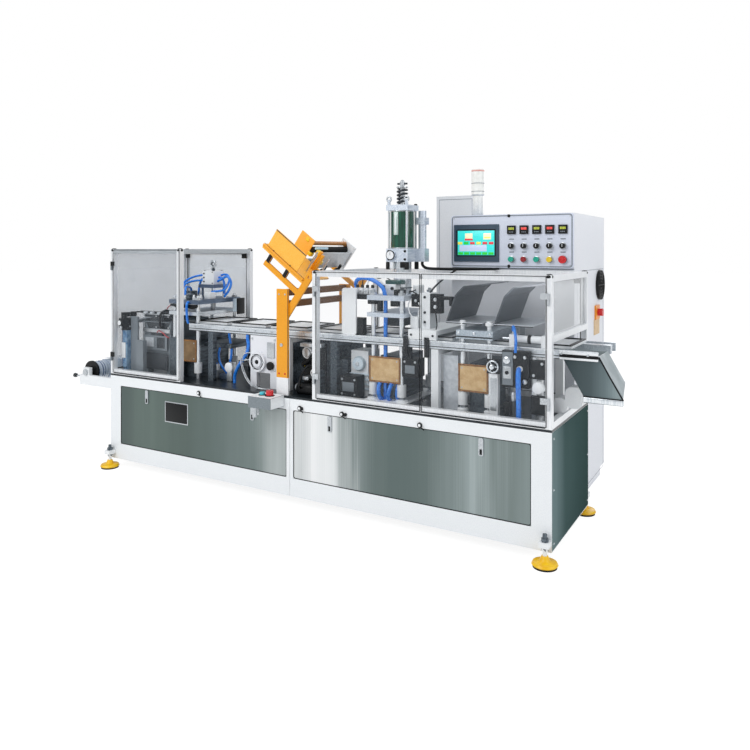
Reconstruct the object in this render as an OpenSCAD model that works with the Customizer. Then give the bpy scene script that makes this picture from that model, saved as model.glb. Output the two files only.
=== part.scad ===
// Card blister packing machine: two bolted base halves with film unwinder, forming press, card feeder,
// heat sealing press with booster cylinder, cutting press, guards, discharge chute and control cabinet.
// x runs along the line (0 at the seam of the base), y from the operator side to the back, z up
// from the floor.

/* [Base] */
// Length of the two base halves together
base_l = 2900; // [2700:10:3200]
// Depth of the base from the operator side to the back
base_w = 680; // [660:5:760]
// Height of the working table
table_z = 603; // [580:1:680]
// Clear height under the base frame
floor_gap = 56; // [52:1:70]
// Width of the stiles at both ends
end_stile_w = 95; // [70:1:120]
// Width of the stiles beside the seam
seam_stile_w = 22; // [16:1:40]
// Gap between the two halves
seam_gap = 2; // [1:0.5:5]
// Depth of the frame tube
tube_d = 60; // [50:1:70]
// Height of the bottom rails
low_rail_h = 100; // [70:1:120]
// Height of the top rails
top_rail_h = 61; // [45:1:80]
// Thickness of the table plates
table_t = 12; // [8:1:20]
// Thickness of the closing panels
panel_t = 3; // [2:0.5:5]
// Depth of the panels behind the frame face
panel_inset = 3; // [1:0.5:8]

/* [Feet] */
// Diameter of the round foot
foot_d = 118; // [90:1:140]
// Height of the rubber sole
sole_h = 8; // [5:1:12]
// Height of the yellow foot disc
pad_h = 20; // [14:1:30]
// Height of the cone over the disc
cone_h = 22; // [12:1:30]
// Diameter of the foot stud
stud_d = 20; // [14:1:24]
// Height of the top of the foot stud
stud_top = 146; // [135:1:170]
// Distance of the foot from the end of the base
foot_in = 24; // [22:1:40]
// Distance of the foot in front of the base face
foot_out = 26; // [24:1:40]
// Thickness of the welded foot lug
lug_t = 24; // [16:1:30]
// Height of the underside of the foot lug
lug_z = 88; // [82:1:96]

/* [Guards] */
// Width of the square guard profile
profile_w = 30; // [20:1:40]
// Length of the left guard along the line
left_guard_l = 622; // [600:1:680]
// Underside of the left end pane, over the film slot
film_slot_z = 700; // [690:1:720]
// Top of the left guard
left_guard_top = 1412; // [1390:1:1500]
// Start of the right guard after the seam
right_guard_x = 150; // [140:1:180]
// Top of the right guard
right_guard_top = 1294; // [1280:1:1320]
// Thickness of the acrylic panes and doors
pane_t = 6; // [4:0.5:10]
// Gap between a closed door and the frame
door_gap = 5; // [5:0.5:8]
// Gap between the edges of neighbouring doors
door_edge_gap = 6; // [5:0.5:12]
// Underside of the pane over the outlet
outlet_pane_z = 1020; // [1000:5:1100]
// Radius of the hinge pins
hinge_pin_r = 2.5; // [2:0.1:4]
// Radius of the hinge knuckles
hinge_r = 6; // [5:0.5:7]
// Height of one hinge knuckle
knuckle_h = 28; // [20:1:40]
// Reach of the hinge leaf on the door
leaf_l = 34; // [26:1:50]
// Thickness of the hinge leaves
leaf_t = 4; // [3:0.5:5]
// Distance of the hinges from the ends of a door
hinge_in = 105; // [80:1:160]

/* [Conveyor] */
// Top of the conveyor rails
rail_z = 946; // [930:1:970]
// Height of the conveyor rails
rail_h = 41; // [30:1:50]
// Thickness of the conveyor side rails
rail_t = 14; // [10:1:18]
// Front face of the conveyor
conveyor_y = 118; // [110:1:125]
// Width over the conveyor side rails
conveyor_w = 404; // [400:1:440]
// Start of the conveyor behind the left end of the base
conveyor_in = 580; // [560:5:600]
// Length of the conveyor past the right end of the base
conveyor_out = 174; // [150:1:200]
// Inner edge of the slide bars from the conveyor centre
slide_in = 70; // [60:1:80]
// Width of the slide bars
slide_w = 40; // [30:1:50]
// Width of the carrier trays
tray_w = 290; // [270:1:300]
// Length of a carrier tray
tray_l = 262; // [220:1:280]
// Thickness of a carrier tray
tray_t = 12; // [8:1:16]
// Width of the rim around a tray pocket
tray_rim = 26; // [16:1:40]
// Depth of the seat in a tray
tray_pocket = 3; // [1:0.5:4]
// Pitch of the trays along the line
tray_pitch = 300; // [290:1:320]
// Number of trays
tray_n = 8; // [6:1:8]

/* [Presses] */
// Radius of the guide columns
column_r = 12; // [9:0.5:14]
// Distance of the front and back columns from the conveyor centre
column_off = 170; // [165:1:175]
// Clearance round a sliding column
slide_fit = 0.3; // [0.2:0.05:0.6]
// Radius of the column collars
collar_r = 24; // [20:1:25]
// Centre of the forming press from the left end
form_x = 525; // [510:1:540]
// Distance between the forming columns along the line
form_pitch = 200; // [190:1:220]
// Underside of the forming crosshead
form_head_z = 1066; // [1050:1:1090]
// Centre of the sealing press from the seam
seal_x = 530; // [520:1:545]
// Distance between the sealing columns along the line
seal_pitch = 170; // [160:1:190]
// Underside of the sealing crosshead
seal_head_z = 1140; // [1120:1:1160]
// Centre of the cutting press from the seam
cut_x = 1030; // [1020:1:1050]
// Distance between the cutting columns along the line
cut_pitch = 140; // [130:1:160]
// Underside of the cutting crosshead
cut_head_z = 967; // [965:1:990]
// Thickness of the forming and sealing crossheads
crosshead_t = 26; // [18:1:34]
// Thickness of the cutting crosshead
cut_head_t = 44; // [30:1:50]
// Thickness of the moving platens
platen_t = 22; // [16:1:28]
// Closing stroke of the presses
stroke = 30; // [10:1:32]

/* [Booster cylinder] */
// Side of the square end blocks
booster_w = 132; // [110:1:150]
// Top of the lower cylinder under the booster
booster_z = 1342; // [1330:1:1370]
// Height of the lower block
booster_low_h = 72; // [60:1:90]
// Length of the green barrel
booster_barrel_h = 208; // [170:1:240]
// Diameter of the green barrel
booster_barrel_d = 104; // [80:1:112]
// Thickness of the top block
booster_top_h = 30; // [20:1:40]
// Radius of the tie rods
tie_r = 6; // [4:0.5:8]
// Height of the bellows stack
bellows_h = 88; // [60:1:110]
// Diameter of the bellows
bellows_d = 70; // [50:1:76]
// Number of bellows folds
bellows_n = 6; // [4:1:8]
// Height of the tip over the bellows
tip_h = 52; // [30:1:70]

/* [Card feeder] */
// Width of the feeder posts
feeder_post_w = 80; // [60:1:90]
// Depth of the feeder posts
feeder_post_d = 10; // [8:1:16]
// Right face of the feeder posts before the seam
feeder_x = 22; // [20:1:40]
// Distance of the feeder posts from the base faces
feeder_in = 14; // [10:1:30]
// Height of the feeder pedestals
pedestal_h = 95; // [70:1:120]
// Top of the feeder posts
feeder_top = 1190; // [1180:1:1220]
// Slope of the card tray
feeder_tilt = 36; // [30:1:40]
// Height of the pivot point of the card tray
feeder_z = 1300; // [1290:1:1320]
// Length of the card tray
card_tray_l = 248; // [220:1:270]
// Height of the card tray sides
card_tray_h = 118; // [90:1:130]
// Inner width of the card tray
card_tray_w = 236; // [200:1:240]
// Thickness of the feeder plates
feeder_plate_t = 6; // [4:0.5:8]
// Width of the feeder struts
strut_w = 40; // [30:1:50]
// Length of the feeder struts
strut_l = 296; // [280:1:300]

/* [Film unwinder] */
// Reach of the unwinder arms past the base
unwind_reach = 336; // [310:1:360]
// Height of the unwinder arms
unwind_arm_h = 66; // [50:1:80]
// Thickness of the unwinder arms
unwind_arm_t = 25; // [16:1:30]
// Height of the unwinder shaft
unwind_z = 583; // [575:1:600]
// Distance of the shaft from the base end
unwind_x = 270; // [250:1:280]
// Radius of the unwinder shaft
unwind_r = 12; // [10:0.5:15]
// Radius of the spool flanges
roll_r = 70; // [60:1:80]
// Distance of the spool's ends from the sides of the base, on average
spool_in = 82; // [76:1:96]
// Width of the film
film_w = 300; // [280:1:304]

/* [Discharge chute] */
// Width of the chute from front to back
chute_w = 200; // [180:1:240]
// Length of the chute mouth
chute_mouth = 170; // [150:1:180]
// Sideways run of the chute
chute_run = 105; // [90:1:130]
// Height of the chute outlet
chute_z = 739; // [720:1:760]
// Thickness of the chute sheet
chute_t = 3; // [2:0.5:5]

/* [Control cabinet] */
// Width of the control cabinet
cabinet_w = 712; // [680:1:740]
// Distance of the cabinet's right face from the right end of the base
cabinet_in = 76; // [60:1:120]
// Depth of the control cabinet
cabinet_d = 735; // [600:5:780]
// Gap between the right guard's top and the control panel
control_gap = 13; // [8:1:30]
// Gap between the base and the cabinet
cabinet_gap = 16; // [10:1:40]
// Height of the plinth
plinth_h = 75; // [50:1:100]
// Setback of the plinth
plinth_in = 20; // [10:1:40]
// Thickness of the raised control panel
control_t = 14; // [8:1:20]
// Height of the raised control panel
control_h = 300; // [290:1:310]
// Corner radius of the control panel
control_r = 18; // [10:1:30]
// Width of the touch screen bezel
hmi_w = 272; // [250:1:280]
// Height of the touch screen bezel
hmi_h = 213; // [190:1:220]
// Depth of the touch screen bezel
hmi_t = 9; // [6:1:12]
// Side of the square controllers
controller_w = 48; // [44:1:50]
// Diameter of the push buttons
button_d = 30; // [24:1:36]
// Diameter of the emergency stop
stop_d = 42; // [36:1:50]
// Diameter of the fan grille
fan_d = 180; // [120:1:200]
// Diameter of the signal lamp
lamp_d = 75; // [60:1:80]
// Height of the signal lamp
lamp_h = 150; // [120:1:170]
// Height of the lamp foot
lamp_foot_h = 125; // [100:1:140]
// Width of the rear cabinet
rear_w = 240; // [200:1:250]
// Top of the rear cabinet
rear_top = 1748; // [1700:1:1790]
// Setback of the rear cabinet behind the control cabinet face
rear_in = 300; // [260:1:340]
// Depth of the rear cabinet
rear_d = 120; // [100:1:160]

/* [Hidden] */

$fn = 48;
eps = 0.01;
// Gap that keeps a curved face off its neighbour
round_gap = 0.3;
half_l = base_l / 2;
back_y = base_w;
rail_top_z = table_z - table_t;
panel_low = floor_gap + low_rail_h;
panel_high = rail_top_z - top_rail_h;
foot_x = half_l - foot_in;
left_guard_x = -half_l + left_guard_l;
right_mid = (right_guard_x + half_l) / 2;
conveyor_l_x = -half_l + conveyor_in;
conveyor_r_x = half_l + conveyor_out;
conveyor_mid = conveyor_y + conveyor_w / 2;
conveyor_back = conveyor_y + conveyor_w;
rail_low = rail_z - rail_h;
column_ys = [conveyor_mid - column_off, conveyor_mid + column_off];
form_cx = -half_l + form_x;
tray_top = rail_z + tray_t;
tray_y = conveyor_mid - tray_w / 2;
door_y = -door_gap - pane_t;
hinge_y = door_y + pane_t / 2;
door_low_gap = 8;
door_low = table_z + door_low_gap;
cabinet_x = half_l - cabinet_in;
cabinet_l_x = cabinet_x - cabinet_w;
cabinet_y = back_y + cabinet_gap;
cabinet_top = right_guard_top + control_gap + control_h;
cabinet_back = cabinet_y + cabinet_d;
booster_low_top = booster_z + booster_low_h;
booster_top_z = booster_low_top + booster_barrel_h;
bellows_z = booster_top_z + booster_top_h;
machine_top = cabinet_top + lamp_foot_h + lamp_h;
unwind_cx = -half_l - unwind_x;
arm_end = -half_l - unwind_reach;
// Brake lever at the end of the front unwinder arm
lever_l = 66;
// Depth of the pendant button box
box_d = 120;
front_reach = -max(foot_out + foot_d / 2, box_d);
left_reach = min(arm_end - lever_l, unwind_cx - roll_r);
right_reach = conveyor_r_x + chute_run;
// Shift that puts the origin under the middle of the whole machine
origin_shift = [-(left_reach + right_reach) / 2, -(front_reach + cabinet_back) / 2, 0];

// Box between two corners
module slab(low, high) {
    translate(low) cube(high - low);
}

// Upright round bar
module upright(x, y, low, high, r) {
    translate([x, y, low]) cylinder(h = high - low, r = r);
}

// Round bar along y
module cross_bar(x, z, low, high, r) {
    translate([x, low, z]) rotate([-90, 0, 0]) cylinder(h = high - low, r = r);
}

// Round bar along x
module long_bar(y, z, low, high, r) {
    translate([low, y, z]) rotate([0, 90, 0]) cylinder(h = high - low, r = r);
}

// Flat outline in x and z made into a sheet from y = low to y = high
module across(low, high) {
    translate([0, high, 0]) rotate([90, 0, 0]) linear_extrude(high - low) children();
}

// Rectangle with round corners
module rounded(low, high, r) {
    translate(low + [r, 0]) square(high - low - [2 * r, 0]);
    translate(low + [0, r]) square(high - low - [0, 2 * r]);
    for (x = [low[0] + r, high[0] - r], y = [low[1] + r, high[1] - r]) translate([x, y]) circle(r = r);
}

// Places its child at the four feet
module at_feet() {
    for (side = [-1, 1], y = [-foot_out, back_y + foot_out])
        translate([side * foot_x, y, 0]) children();
}

// Puts the card feeder's own axes, x down the slope, into the machine
module on_slope() {
    translate([0, 0, feeder_z]) rotate([0, feeder_tilt, 0]) children();
}

// Start and end of each base half along x
half_spans = [[-half_l, -seam_gap / 2], [seam_gap / 2, half_l]];
// Clear opening of each base half between its stiles
half_openings = [
    [-half_l + end_stile_w, -seam_gap / 2 - seam_stile_w],
    [seam_gap / 2 + seam_stile_w, half_l - end_stile_w]
];
tube_rows = [[0, tube_d], [base_w - tube_d, base_w]];
lug_w = 46;

module base_posts() color("white") {
    for (i = [0, 1], row = tube_rows) {
        slab([half_spans[i][0], row[0], floor_gap], [half_openings[i][0], row[1], rail_top_z]);
        slab([half_openings[i][1], row[0], floor_gap], [half_spans[i][1], row[1], rail_top_z]);
    }
    for (side = [-1, 1],
        row = [[-foot_out - lug_w / 2, eps], [back_y - eps, back_y + foot_out + lug_w / 2]])
        difference() {
            slab([side * foot_x - lug_w / 2, row[0], lug_z],
                [side * foot_x + lug_w / 2, row[1], lug_z + lug_t]);
            upright(side * foot_x, row[0] < 0 ? -foot_out : back_y + foot_out,
                0, table_z, stud_d / 2 + slide_fit);
        }
}

module base_rails() color("white") {
    for (span = half_openings, row = tube_rows) {
        slab([span[0], row[0], floor_gap], [span[1], row[1], panel_low]);
        slab([span[0], row[0], panel_high], [span[1], row[1], rail_top_z]);
    }
    for (x = [-half_l, half_l - end_stile_w]) {
        slab([x, tube_d, floor_gap], [x + end_stile_w, back_y - tube_d, panel_low]);
        slab([x, tube_d, panel_high], [x + end_stile_w, back_y - tube_d, rail_top_z]);
    }
}

module base_panels() color("silver") {
    for (span = half_openings, y = [panel_inset, back_y - panel_inset - panel_t])
        slab([span[0], y, panel_low], [span[1], y + panel_t, panel_high]);
    for (x = [-half_l + panel_inset, half_l - panel_inset - panel_t])
        slab([x, tube_d, panel_low], [x + panel_t, back_y - tube_d, panel_high]);
}

module table_plates() color("dimgray") {
    for (span = half_spans) slab([span[0], 0, rail_top_z], [span[1], base_w, table_z]);
}

// Flush pull latches at the upper edge of the front panels, and round catches on the top rail over them
latch_w = 24;
latch_h = 84;
latch_t = 7;
latch_drop = 6;
latch_end_in = 240;
catch_r = 9;
catch_t = 8;
catch_end_in = [60, 340];

module panel_latches() color("black") {
    for (span = half_openings, x = [span[0] + latch_end_in, span[1] - latch_end_in])
        across(panel_inset - latch_t, panel_inset)
            rounded([x - latch_w / 2, panel_high - latch_drop - latch_h],
                    [x + latch_w / 2, panel_high - latch_drop], latch_w / 3);
    for (x = [half_openings[1][0] + catch_end_in[0], half_openings[1][0] + catch_end_in[1]])
        cross_bar(x, panel_high + top_rail_h / 4, -catch_t, 0, catch_r);
}

nut_h = 16;
nut_d = 34;

module foot_studs() color("silver") at_feet() {
    upright(0, 0, sole_h + pad_h + cone_h, stud_top, stud_d / 2);
    translate([0, 0, lug_z - nut_h]) cylinder(h = nut_h, d = nut_d, $fn = 6);
    translate([0, 0, lug_z + lug_t]) cylinder(h = nut_h, d = nut_d, $fn = 6);
}

pad_edge = 5;

module foot_pads() color("gold") at_feet()
    rotate_extrude() polygon([
        [0, sole_h],
        [foot_d / 2 - pad_edge, sole_h],
        [foot_d / 2, sole_h + pad_edge],
        [foot_d / 2 - pad_edge, sole_h + pad_h - pad_edge],
        [stud_d + pad_edge, sole_h + pad_h],
        [stud_d - pad_edge, sole_h + pad_h + cone_h],
        [0, sole_h + pad_h + cone_h]
    ]);

module foot_soles() color("black") at_feet() cylinder(h = sole_h, d = foot_d - 2 * pad_edge);

// Start, end and top of each guard
guards = [[-half_l, left_guard_x, left_guard_top], [right_guard_x, half_l, right_guard_top]];

module guard_posts() color("lightgray") {
    for (g = guards, x = [g[0], g[1] - profile_w], y = [0, base_w - profile_w])
        slab([x, y, table_z], [x + profile_w, y + profile_w, g[2]]);
}

module guard_rails() color("lightgray") {
    for (g = guards, y = [0, base_w - profile_w]) {
        slab([g[0] + profile_w, y, g[2] - profile_w], [g[1] - profile_w, y + profile_w, g[2]]);
        slab([g[0] + profile_w, y, table_z], [g[1] - profile_w, y + profile_w, table_z + profile_w]);
    }
    for (g = guards, x = [g[0], g[1] - profile_w])
        slab([x, profile_w, g[2] - profile_w], [x + profile_w, base_w - profile_w, g[2]]);
    for (x = [-half_l, half_l - profile_w])
        slab([x, profile_w, table_z], [x + profile_w, base_w - profile_w, table_z + profile_w]);
    slab([half_l - profile_w, profile_w, outlet_pane_z - profile_w],
         [half_l, base_w - profile_w, outlet_pane_z]);
}

module guard_panes() color("lightblue", 0.4) {
    pane_in = (profile_w - pane_t) / 2;
    for (g = guards)
        slab([g[0] + profile_w, base_w - profile_w + pane_in, table_z + profile_w],
             [g[1] - profile_w, base_w - pane_in, g[2] - profile_w]);
    slab([-half_l + pane_in, profile_w, film_slot_z],
         [-half_l + pane_in + pane_t, base_w - profile_w, left_guard_top - profile_w]);
    slab([half_l - pane_in - pane_t, profile_w, outlet_pane_z],
         [half_l - pane_in, base_w - profile_w, right_guard_top - profile_w]);
}

// Door openings: hinge side, hinge line, free edge and top
door_end_gap = 4;
left_door = [1, -half_l + profile_w / 2, left_guard_x - door_end_gap, left_guard_top];
middle_door = [1, right_guard_x + profile_w / 2, right_mid - door_edge_gap / 2, right_guard_top];
right_door = [-1, half_l - profile_w / 2, right_mid + door_edge_gap / 2, right_guard_top];
doors = [left_door, middle_door, right_door];
knuckle_gap = 0.3;
hinge_fit = 0.08;
door_edge_in = hinge_r + door_edge_gap / 2;

// Heights of the two hinges of a door
function hinge_zs(door) = [door_low + hinge_in, door[3] - door_end_gap - hinge_in];

module door_pane(door) {
    near = door[1] + door[0] * door_edge_in;
    slab([min(near, door[2]), door_y, door_low],
        [max(near, door[2]), door_y + pane_t, door[3] - door_end_gap]);
}

module door_leaves(door) {
    far = door[1] + door[0] * leaf_l;
    for (z = hinge_zs(door)) difference() {
        union() {
            upright(door[1], hinge_y, z + knuckle_gap, z + knuckle_h, hinge_r);
            slab([min(door[1], far), door_y - leaf_t, z + knuckle_gap],
                [max(door[1], far), door_y, z + knuckle_h]);
        }
        upright(door[1], hinge_y, z - eps, z + knuckle_h + eps, hinge_pin_r + hinge_fit);
    }
}

module guard_hinges() color("black") {
    for (door = doors, z = hinge_zs(door)) {
        upright(door[1], hinge_y, z - knuckle_h, z, hinge_r);
        upright(door[1], hinge_y, z - eps, z + knuckle_h, hinge_pin_r);
        slab([door[1] - hinge_r, hinge_y, z - knuckle_h], [door[1] + hinge_r, 0, z]);
    }
}

module left_guard_door() color("lightblue", 0.4) door_pane(left_door);
module left_door_leaves() color("black") door_leaves(left_door);
module middle_guard_door() color("lightblue", 0.4) door_pane(middle_door);
module middle_door_leaves() color("black") door_leaves(middle_door);
module right_guard_door() color("lightblue", 0.4) door_pane(right_door);
module right_door_leaves() color("black") door_leaves(right_door);

module conveyor_rails() color("silver") {
    for (y = [conveyor_y, conveyor_back - rail_t])
        slab([conveyor_l_x, y, rail_low], [conveyor_r_x, y + rail_t, rail_z]);
    slab([conveyor_l_x, conveyor_mid - slide_in - slide_w, rail_low],
         [half_l - end_stile_w, conveyor_mid - slide_in, rail_z]);
    slab([conveyor_l_x, conveyor_mid + slide_in, rail_low],
         [conveyor_r_x, conveyor_mid + slide_in + slide_w, rail_z]);
}

// Portal legs under the conveyor
leg_w = 40;
leg_d = 30;
leg_in = 160;
leg_step = 26;
cut_leg_step = 230;
cross_h = 30;
leg_xs = [
    conveyor_l_x + leg_in,
    -feeder_x - feeder_post_w - leg_step,
    right_guard_x + leg_w,
    cut_x - cut_leg_step,
    half_l - end_stile_w - leg_step
];
feeder_ys = [feeder_in, base_w - feeder_in - feeder_post_d];

// Film path: guide rollers, their brackets and the upright run of the web
web_in = 110;
web_x = -half_l + web_in;
web_low = 676;
roller_r = 14;
film_t = 1.5;
bracket_w = 64;
bracket_t = 12;
bracket_y = 96;
bracket_x = web_x - bracket_w / 2;
bracket_ys = [bracket_y, 2 * conveyor_mid - bracket_y - bracket_t];
// Post beside the film heaters
film_post_in = 168;
film_post_w = 65;
film_post_y = 60;
film_post_h = 220;

// Handwheel on its stand at the cutting press
wheel_r = 27;
wheel_rim_r = 4;
wheel_t = 16;
wheel_x = cut_x + 116;
wheel_y = 60;
wheel_z = 851;
wheel_shaft_r = 6;
wheel_hub_r = 11;
wheel_fit = 0.08;
wheel_gap = 6;
stand_w = 40;
stand_d = 34;
stand_y = wheel_y + wheel_t + wheel_gap;

module conveyor_legs() color("white") {
    for (x = leg_xs) difference() {
        slab([x, conveyor_y, table_z], [x + leg_w, conveyor_back, rail_low]);
        slab([x - eps, conveyor_y + leg_d, table_z - eps],
            [x + leg_w + eps, conveyor_back - leg_d, rail_low - cross_h]);
    }
    for (y = feeder_ys)
        slab([-feeder_x - feeder_post_w, y, table_z],
            [-feeder_x, y + feeder_post_d, table_z + pedestal_h]);
    for (y = bracket_ys)
        slab([bracket_x, y, table_z], [bracket_x + bracket_w, y + bracket_t, tray_top + bracket_t]);
    slab([-half_l + film_post_in, film_post_y, table_z],
         [-half_l + film_post_in + film_post_w, film_post_y + leg_d, table_z + film_post_h]);
    slab([wheel_x - stand_w / 2, stand_y, table_z],
        [wheel_x + stand_w / 2, stand_y + stand_d, wheel_z + wheel_r]);
    cross_bar(wheel_x, wheel_z, wheel_y - wheel_t, stand_y + eps, wheel_shaft_r);
}

module carrier_trays() color("gainsboro") {
    for (i = [0 : tray_n - 1]) translate([conveyor_l_x + i * tray_pitch, tray_y, rail_z])
        difference() {
            cube([tray_l, tray_w, tray_t]);
            translate([tray_rim, tray_rim, tray_t - tray_pocket])
                cube([tray_l - 2 * tray_rim, tray_w - 2 * tray_rim, tray_t]);
        }
}

// Drive housing under the loading side, with a bearing cover in front and the motor behind
housing_x = -376;
housing_w = 193;
housing_t = 32;
housing_z = 690;
housing_leg = 46;
cover_x = -315;
cover_z = 753;
cover_r = 58;
cover_t = 18;
cover_groove = 8;
motor_r = 62;
motor_l = 150;

module drive_motor() color("whitesmoke") difference() {
    union() {
        slab([housing_x, conveyor_y, housing_z],
            [housing_x + housing_w, conveyor_y + housing_t, rail_low]);
        for (x = [housing_x, housing_x + housing_w - housing_leg])
            slab([x, conveyor_y, table_z], [x + housing_leg, conveyor_y + housing_t, housing_z + eps]);
        cross_bar(cover_x, cover_z, conveyor_y - cover_t, conveyor_y + eps, cover_r);
        cross_bar(cover_x, cover_z, conveyor_y + housing_t - eps,
            conveyor_y + housing_t + motor_l, motor_r);
    }
    difference() {
        cross_bar(cover_x, cover_z, conveyor_y - cover_t - eps,
            conveyor_y - cover_t + cover_groove, cover_r * 3 / 4);
        cross_bar(cover_x, cover_z, conveyor_y - cover_t - 2 * eps, conveyor_y, cover_r / 2);
    }
}

arm_in = 20;
arm_ys = [arm_in, base_w - arm_in - unwind_arm_t];
arm_top = unwind_z - unwind_r - 8;
bearing_w = 60;
bearing_h = 18;

module film_arms() color("white") {
    for (y = arm_ys) difference() {
        union() {
            slab([arm_end, y, arm_top - unwind_arm_h], [-half_l, y + unwind_arm_t, arm_top]);
            slab([unwind_cx - bearing_w / 2, y, arm_top - eps],
                 [unwind_cx + bearing_w / 2, y + unwind_arm_t, unwind_z + unwind_r + bearing_h]);
        }
        cross_bar(unwind_cx, unwind_z, y - eps, y + unwind_arm_t + eps, unwind_r + slide_fit);
    }
}

knob_r = 20;
knob_l = 10;
shaft_out = 12;
lever_r = 5;
lever_knob_r = 13;
lever_knob_l = 16;

module film_shafts() color("silver") {
    cross_bar(unwind_cx, unwind_z, arm_ys[0] - shaft_out,
        arm_ys[1] + unwind_arm_t + shaft_out, unwind_r);
    for (y = [arm_ys[0] - shaft_out, arm_ys[1] + unwind_arm_t + slide_fit])
        cross_bar(unwind_cx, unwind_z, y, y + knob_l, knob_r);
    lever_y = arm_ys[0] + unwind_arm_t / 2;
    lever_z = arm_top - lever_knob_r;
    long_bar(lever_y, lever_z, arm_end - lever_l, arm_end, lever_r);
    long_bar(lever_y, lever_z, arm_end - lever_l, arm_end - lever_l + lever_knob_l, lever_knob_r);
    for (c = [[web_x - film_t - roller_r - round_gap, web_low + film_t + roller_r + round_gap],
              [web_x + roller_r + round_gap, tray_top - film_t - roller_r - round_gap]])
        cross_bar(c[0], c[1], bracket_ys[0] + bracket_t, bracket_ys[1], roller_r);
}

roll_fit = 0.08;
spool_l = base_w - 2 * spool_in;
spool_y = conveyor_mid - spool_l / 2;
flange_t = 12;
core_drop = 8;
film_drop = 3;

module film_roll() color("aliceblue") difference() {
    union() {
        for (y = [spool_y, spool_y + spool_l - flange_t])
            cross_bar(unwind_cx, unwind_z, y, y + flange_t, roll_r);
        cross_bar(unwind_cx, unwind_z, spool_y, spool_y + spool_l, roll_r - core_drop);
        cross_bar(unwind_cx, unwind_z, conveyor_mid - film_w / 2,
            conveyor_mid + film_w / 2, roll_r - film_drop);
    }
    cross_bar(unwind_cx, unwind_z, spool_y - eps, spool_y + spool_l + eps, unwind_r + roll_fit);
}

// Lower face of the film from the spool, under and over the guide rollers, to the first tray
web_gap = 7;
film_line = [
    [unwind_cx + web_gap, unwind_z + roll_r + web_gap],
    [web_x, web_low],
    [web_x, tray_top - film_t],
    [conveyor_l_x, tray_top - film_t]
];

module film_web() color("lightblue", 0.6) across(conveyor_mid - film_w / 2, conveyor_mid + film_w / 2)
    polygon(concat(film_line,
        [for (i = [len(film_line) - 1 : -1 : 0]) film_line[i] + [-film_t, film_t]]));

// Heater plates under and over the film, on a stand
heater_x = web_x + 40;
heater_l = 240;
heater_y = 150;
heater_low_t = 110;
heater_up_t = 24;
heater_gap = 8;
cheek_t = 12;
cheek_in = 70;
stand_z = 700;
stand_leg = 40;
heater_back = 2 * conveyor_mid - heater_y;
heater_z = tray_top - film_t - heater_gap;

module film_heaters() color("dimgray") {
    slab([heater_x, heater_y, stand_z], [heater_x + heater_l, heater_back, heater_z]);
    slab([heater_x, heater_y, tray_top + heater_gap],
         [heater_x + heater_l, heater_back, tray_top + heater_gap + heater_up_t]);
    for (y = [heater_y - cheek_t, heater_back])
        slab([heater_x + cheek_in, y, heater_z - heater_low_t],
             [heater_x + heater_l - cheek_in, y + cheek_t, tray_top + heater_gap + heater_up_t]);
    for (x = [heater_x, heater_x + heater_l - stand_leg], y = [heater_y, heater_back - stand_leg])
        slab([x, y, table_z], [x + stand_leg, y + stand_leg, stand_z + eps]);
}

// Air filter and regulator beside the left end pane
unit_x = -half_l + 36;
unit_y = 60;
unit_w = 40;
unit_d = 102;
unit_low = 640;
unit_high = 894;
unit_head_h = 66;
unit_head_out = 26;
unit_knob_r = 18;
unit_knob_h = 37;
unit_r = 12;

module air_service_unit() color("steelblue") {
    translate([0, 0, unit_low]) linear_extrude(unit_high - unit_low)
        rounded([unit_x, unit_y], [unit_x + unit_w, unit_y + unit_d], unit_r);
    slab([unit_x, unit_y + unit_r, table_z],
        [unit_x + unit_w, unit_y + unit_d - unit_r, unit_low + eps]);
    slab([unit_x, unit_y - unit_head_out, unit_high - eps],
        [unit_x + unit_w, unit_y + unit_d, unit_high + unit_head_h]);
    for (y = [unit_y, unit_y + unit_d - unit_head_out])
        upright(unit_x + unit_w / 2, y, unit_high + unit_head_h - eps,
            unit_high + unit_head_h + unit_knob_h, unit_knob_r);
}

// Centre, column spacing, crosshead underside and crosshead thickness of the three presses
presses = [
    [form_cx, form_pitch, form_head_z, crosshead_t],
    [seal_x, seal_pitch, seal_head_z, crosshead_t],
    [cut_x, cut_pitch, cut_head_z, cut_head_t]
];

// Column centres of a press along x
function column_xs(p) = [p[0] - p[1] / 2, p[0] + p[1] / 2];

module guide_columns() color("silver") {
    for (p = presses, x = column_xs(p), y = column_ys) upright(x, y, table_z, p[2], column_r);
}

collar_low = 34;
collar_h = 64;
// Caps on the cutting crosshead over its front columns
cap_r = 11;
cap_h = 24;

module column_collars() color("white") {
    for (p = presses, x = column_xs(p), y = column_ys) difference() {
        upright(x, y, table_z + collar_low, table_z + collar_low + collar_h, collar_r);
        upright(x, y, table_z, table_z + collar_low + collar_h + eps, column_r + slide_fit);
    }
    for (x = column_xs(presses[2]))
        upright(x, column_ys[0], cut_head_z + cut_head_t, cut_head_z + cut_head_t + cap_h, cap_r);
}

head_edge = 26;

// Plate over the four columns of a press
module press_plate(p, low, t) {
    xs = column_xs(p);
    slab([xs[0] - head_edge, column_ys[0] - head_edge, low],
        [xs[1] + head_edge, column_ys[1] + head_edge, low + t]);
}

ram_r = 16;
ram_fit = 0.3;
// Rams of the forming and sealing presses in x and y
form_ram = [form_cx + 30, conveyor_mid + 40];
seal_ram = [seal_x, conveyor_mid];
// Blue hose through the sealing press
hose_r = 9;
hose_hole_r = 18;
seal_hose = [seal_x - 15, 157];

module crossheads() color("slategray") difference() {
    for (p = presses) press_plate(p, p[2], p[3]);
    upright(form_ram[0], form_ram[1], form_head_z - eps,
        form_head_z + crosshead_t + eps, ram_r + ram_fit);
    upright(seal_ram[0], seal_ram[1], seal_head_z - eps,
        seal_head_z + crosshead_t + eps, ram_r + ram_fit);
    upright(seal_hose[0], seal_hose[1], seal_head_z - eps,
        seal_head_z + crosshead_t + eps, hose_hole_r);
}

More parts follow.
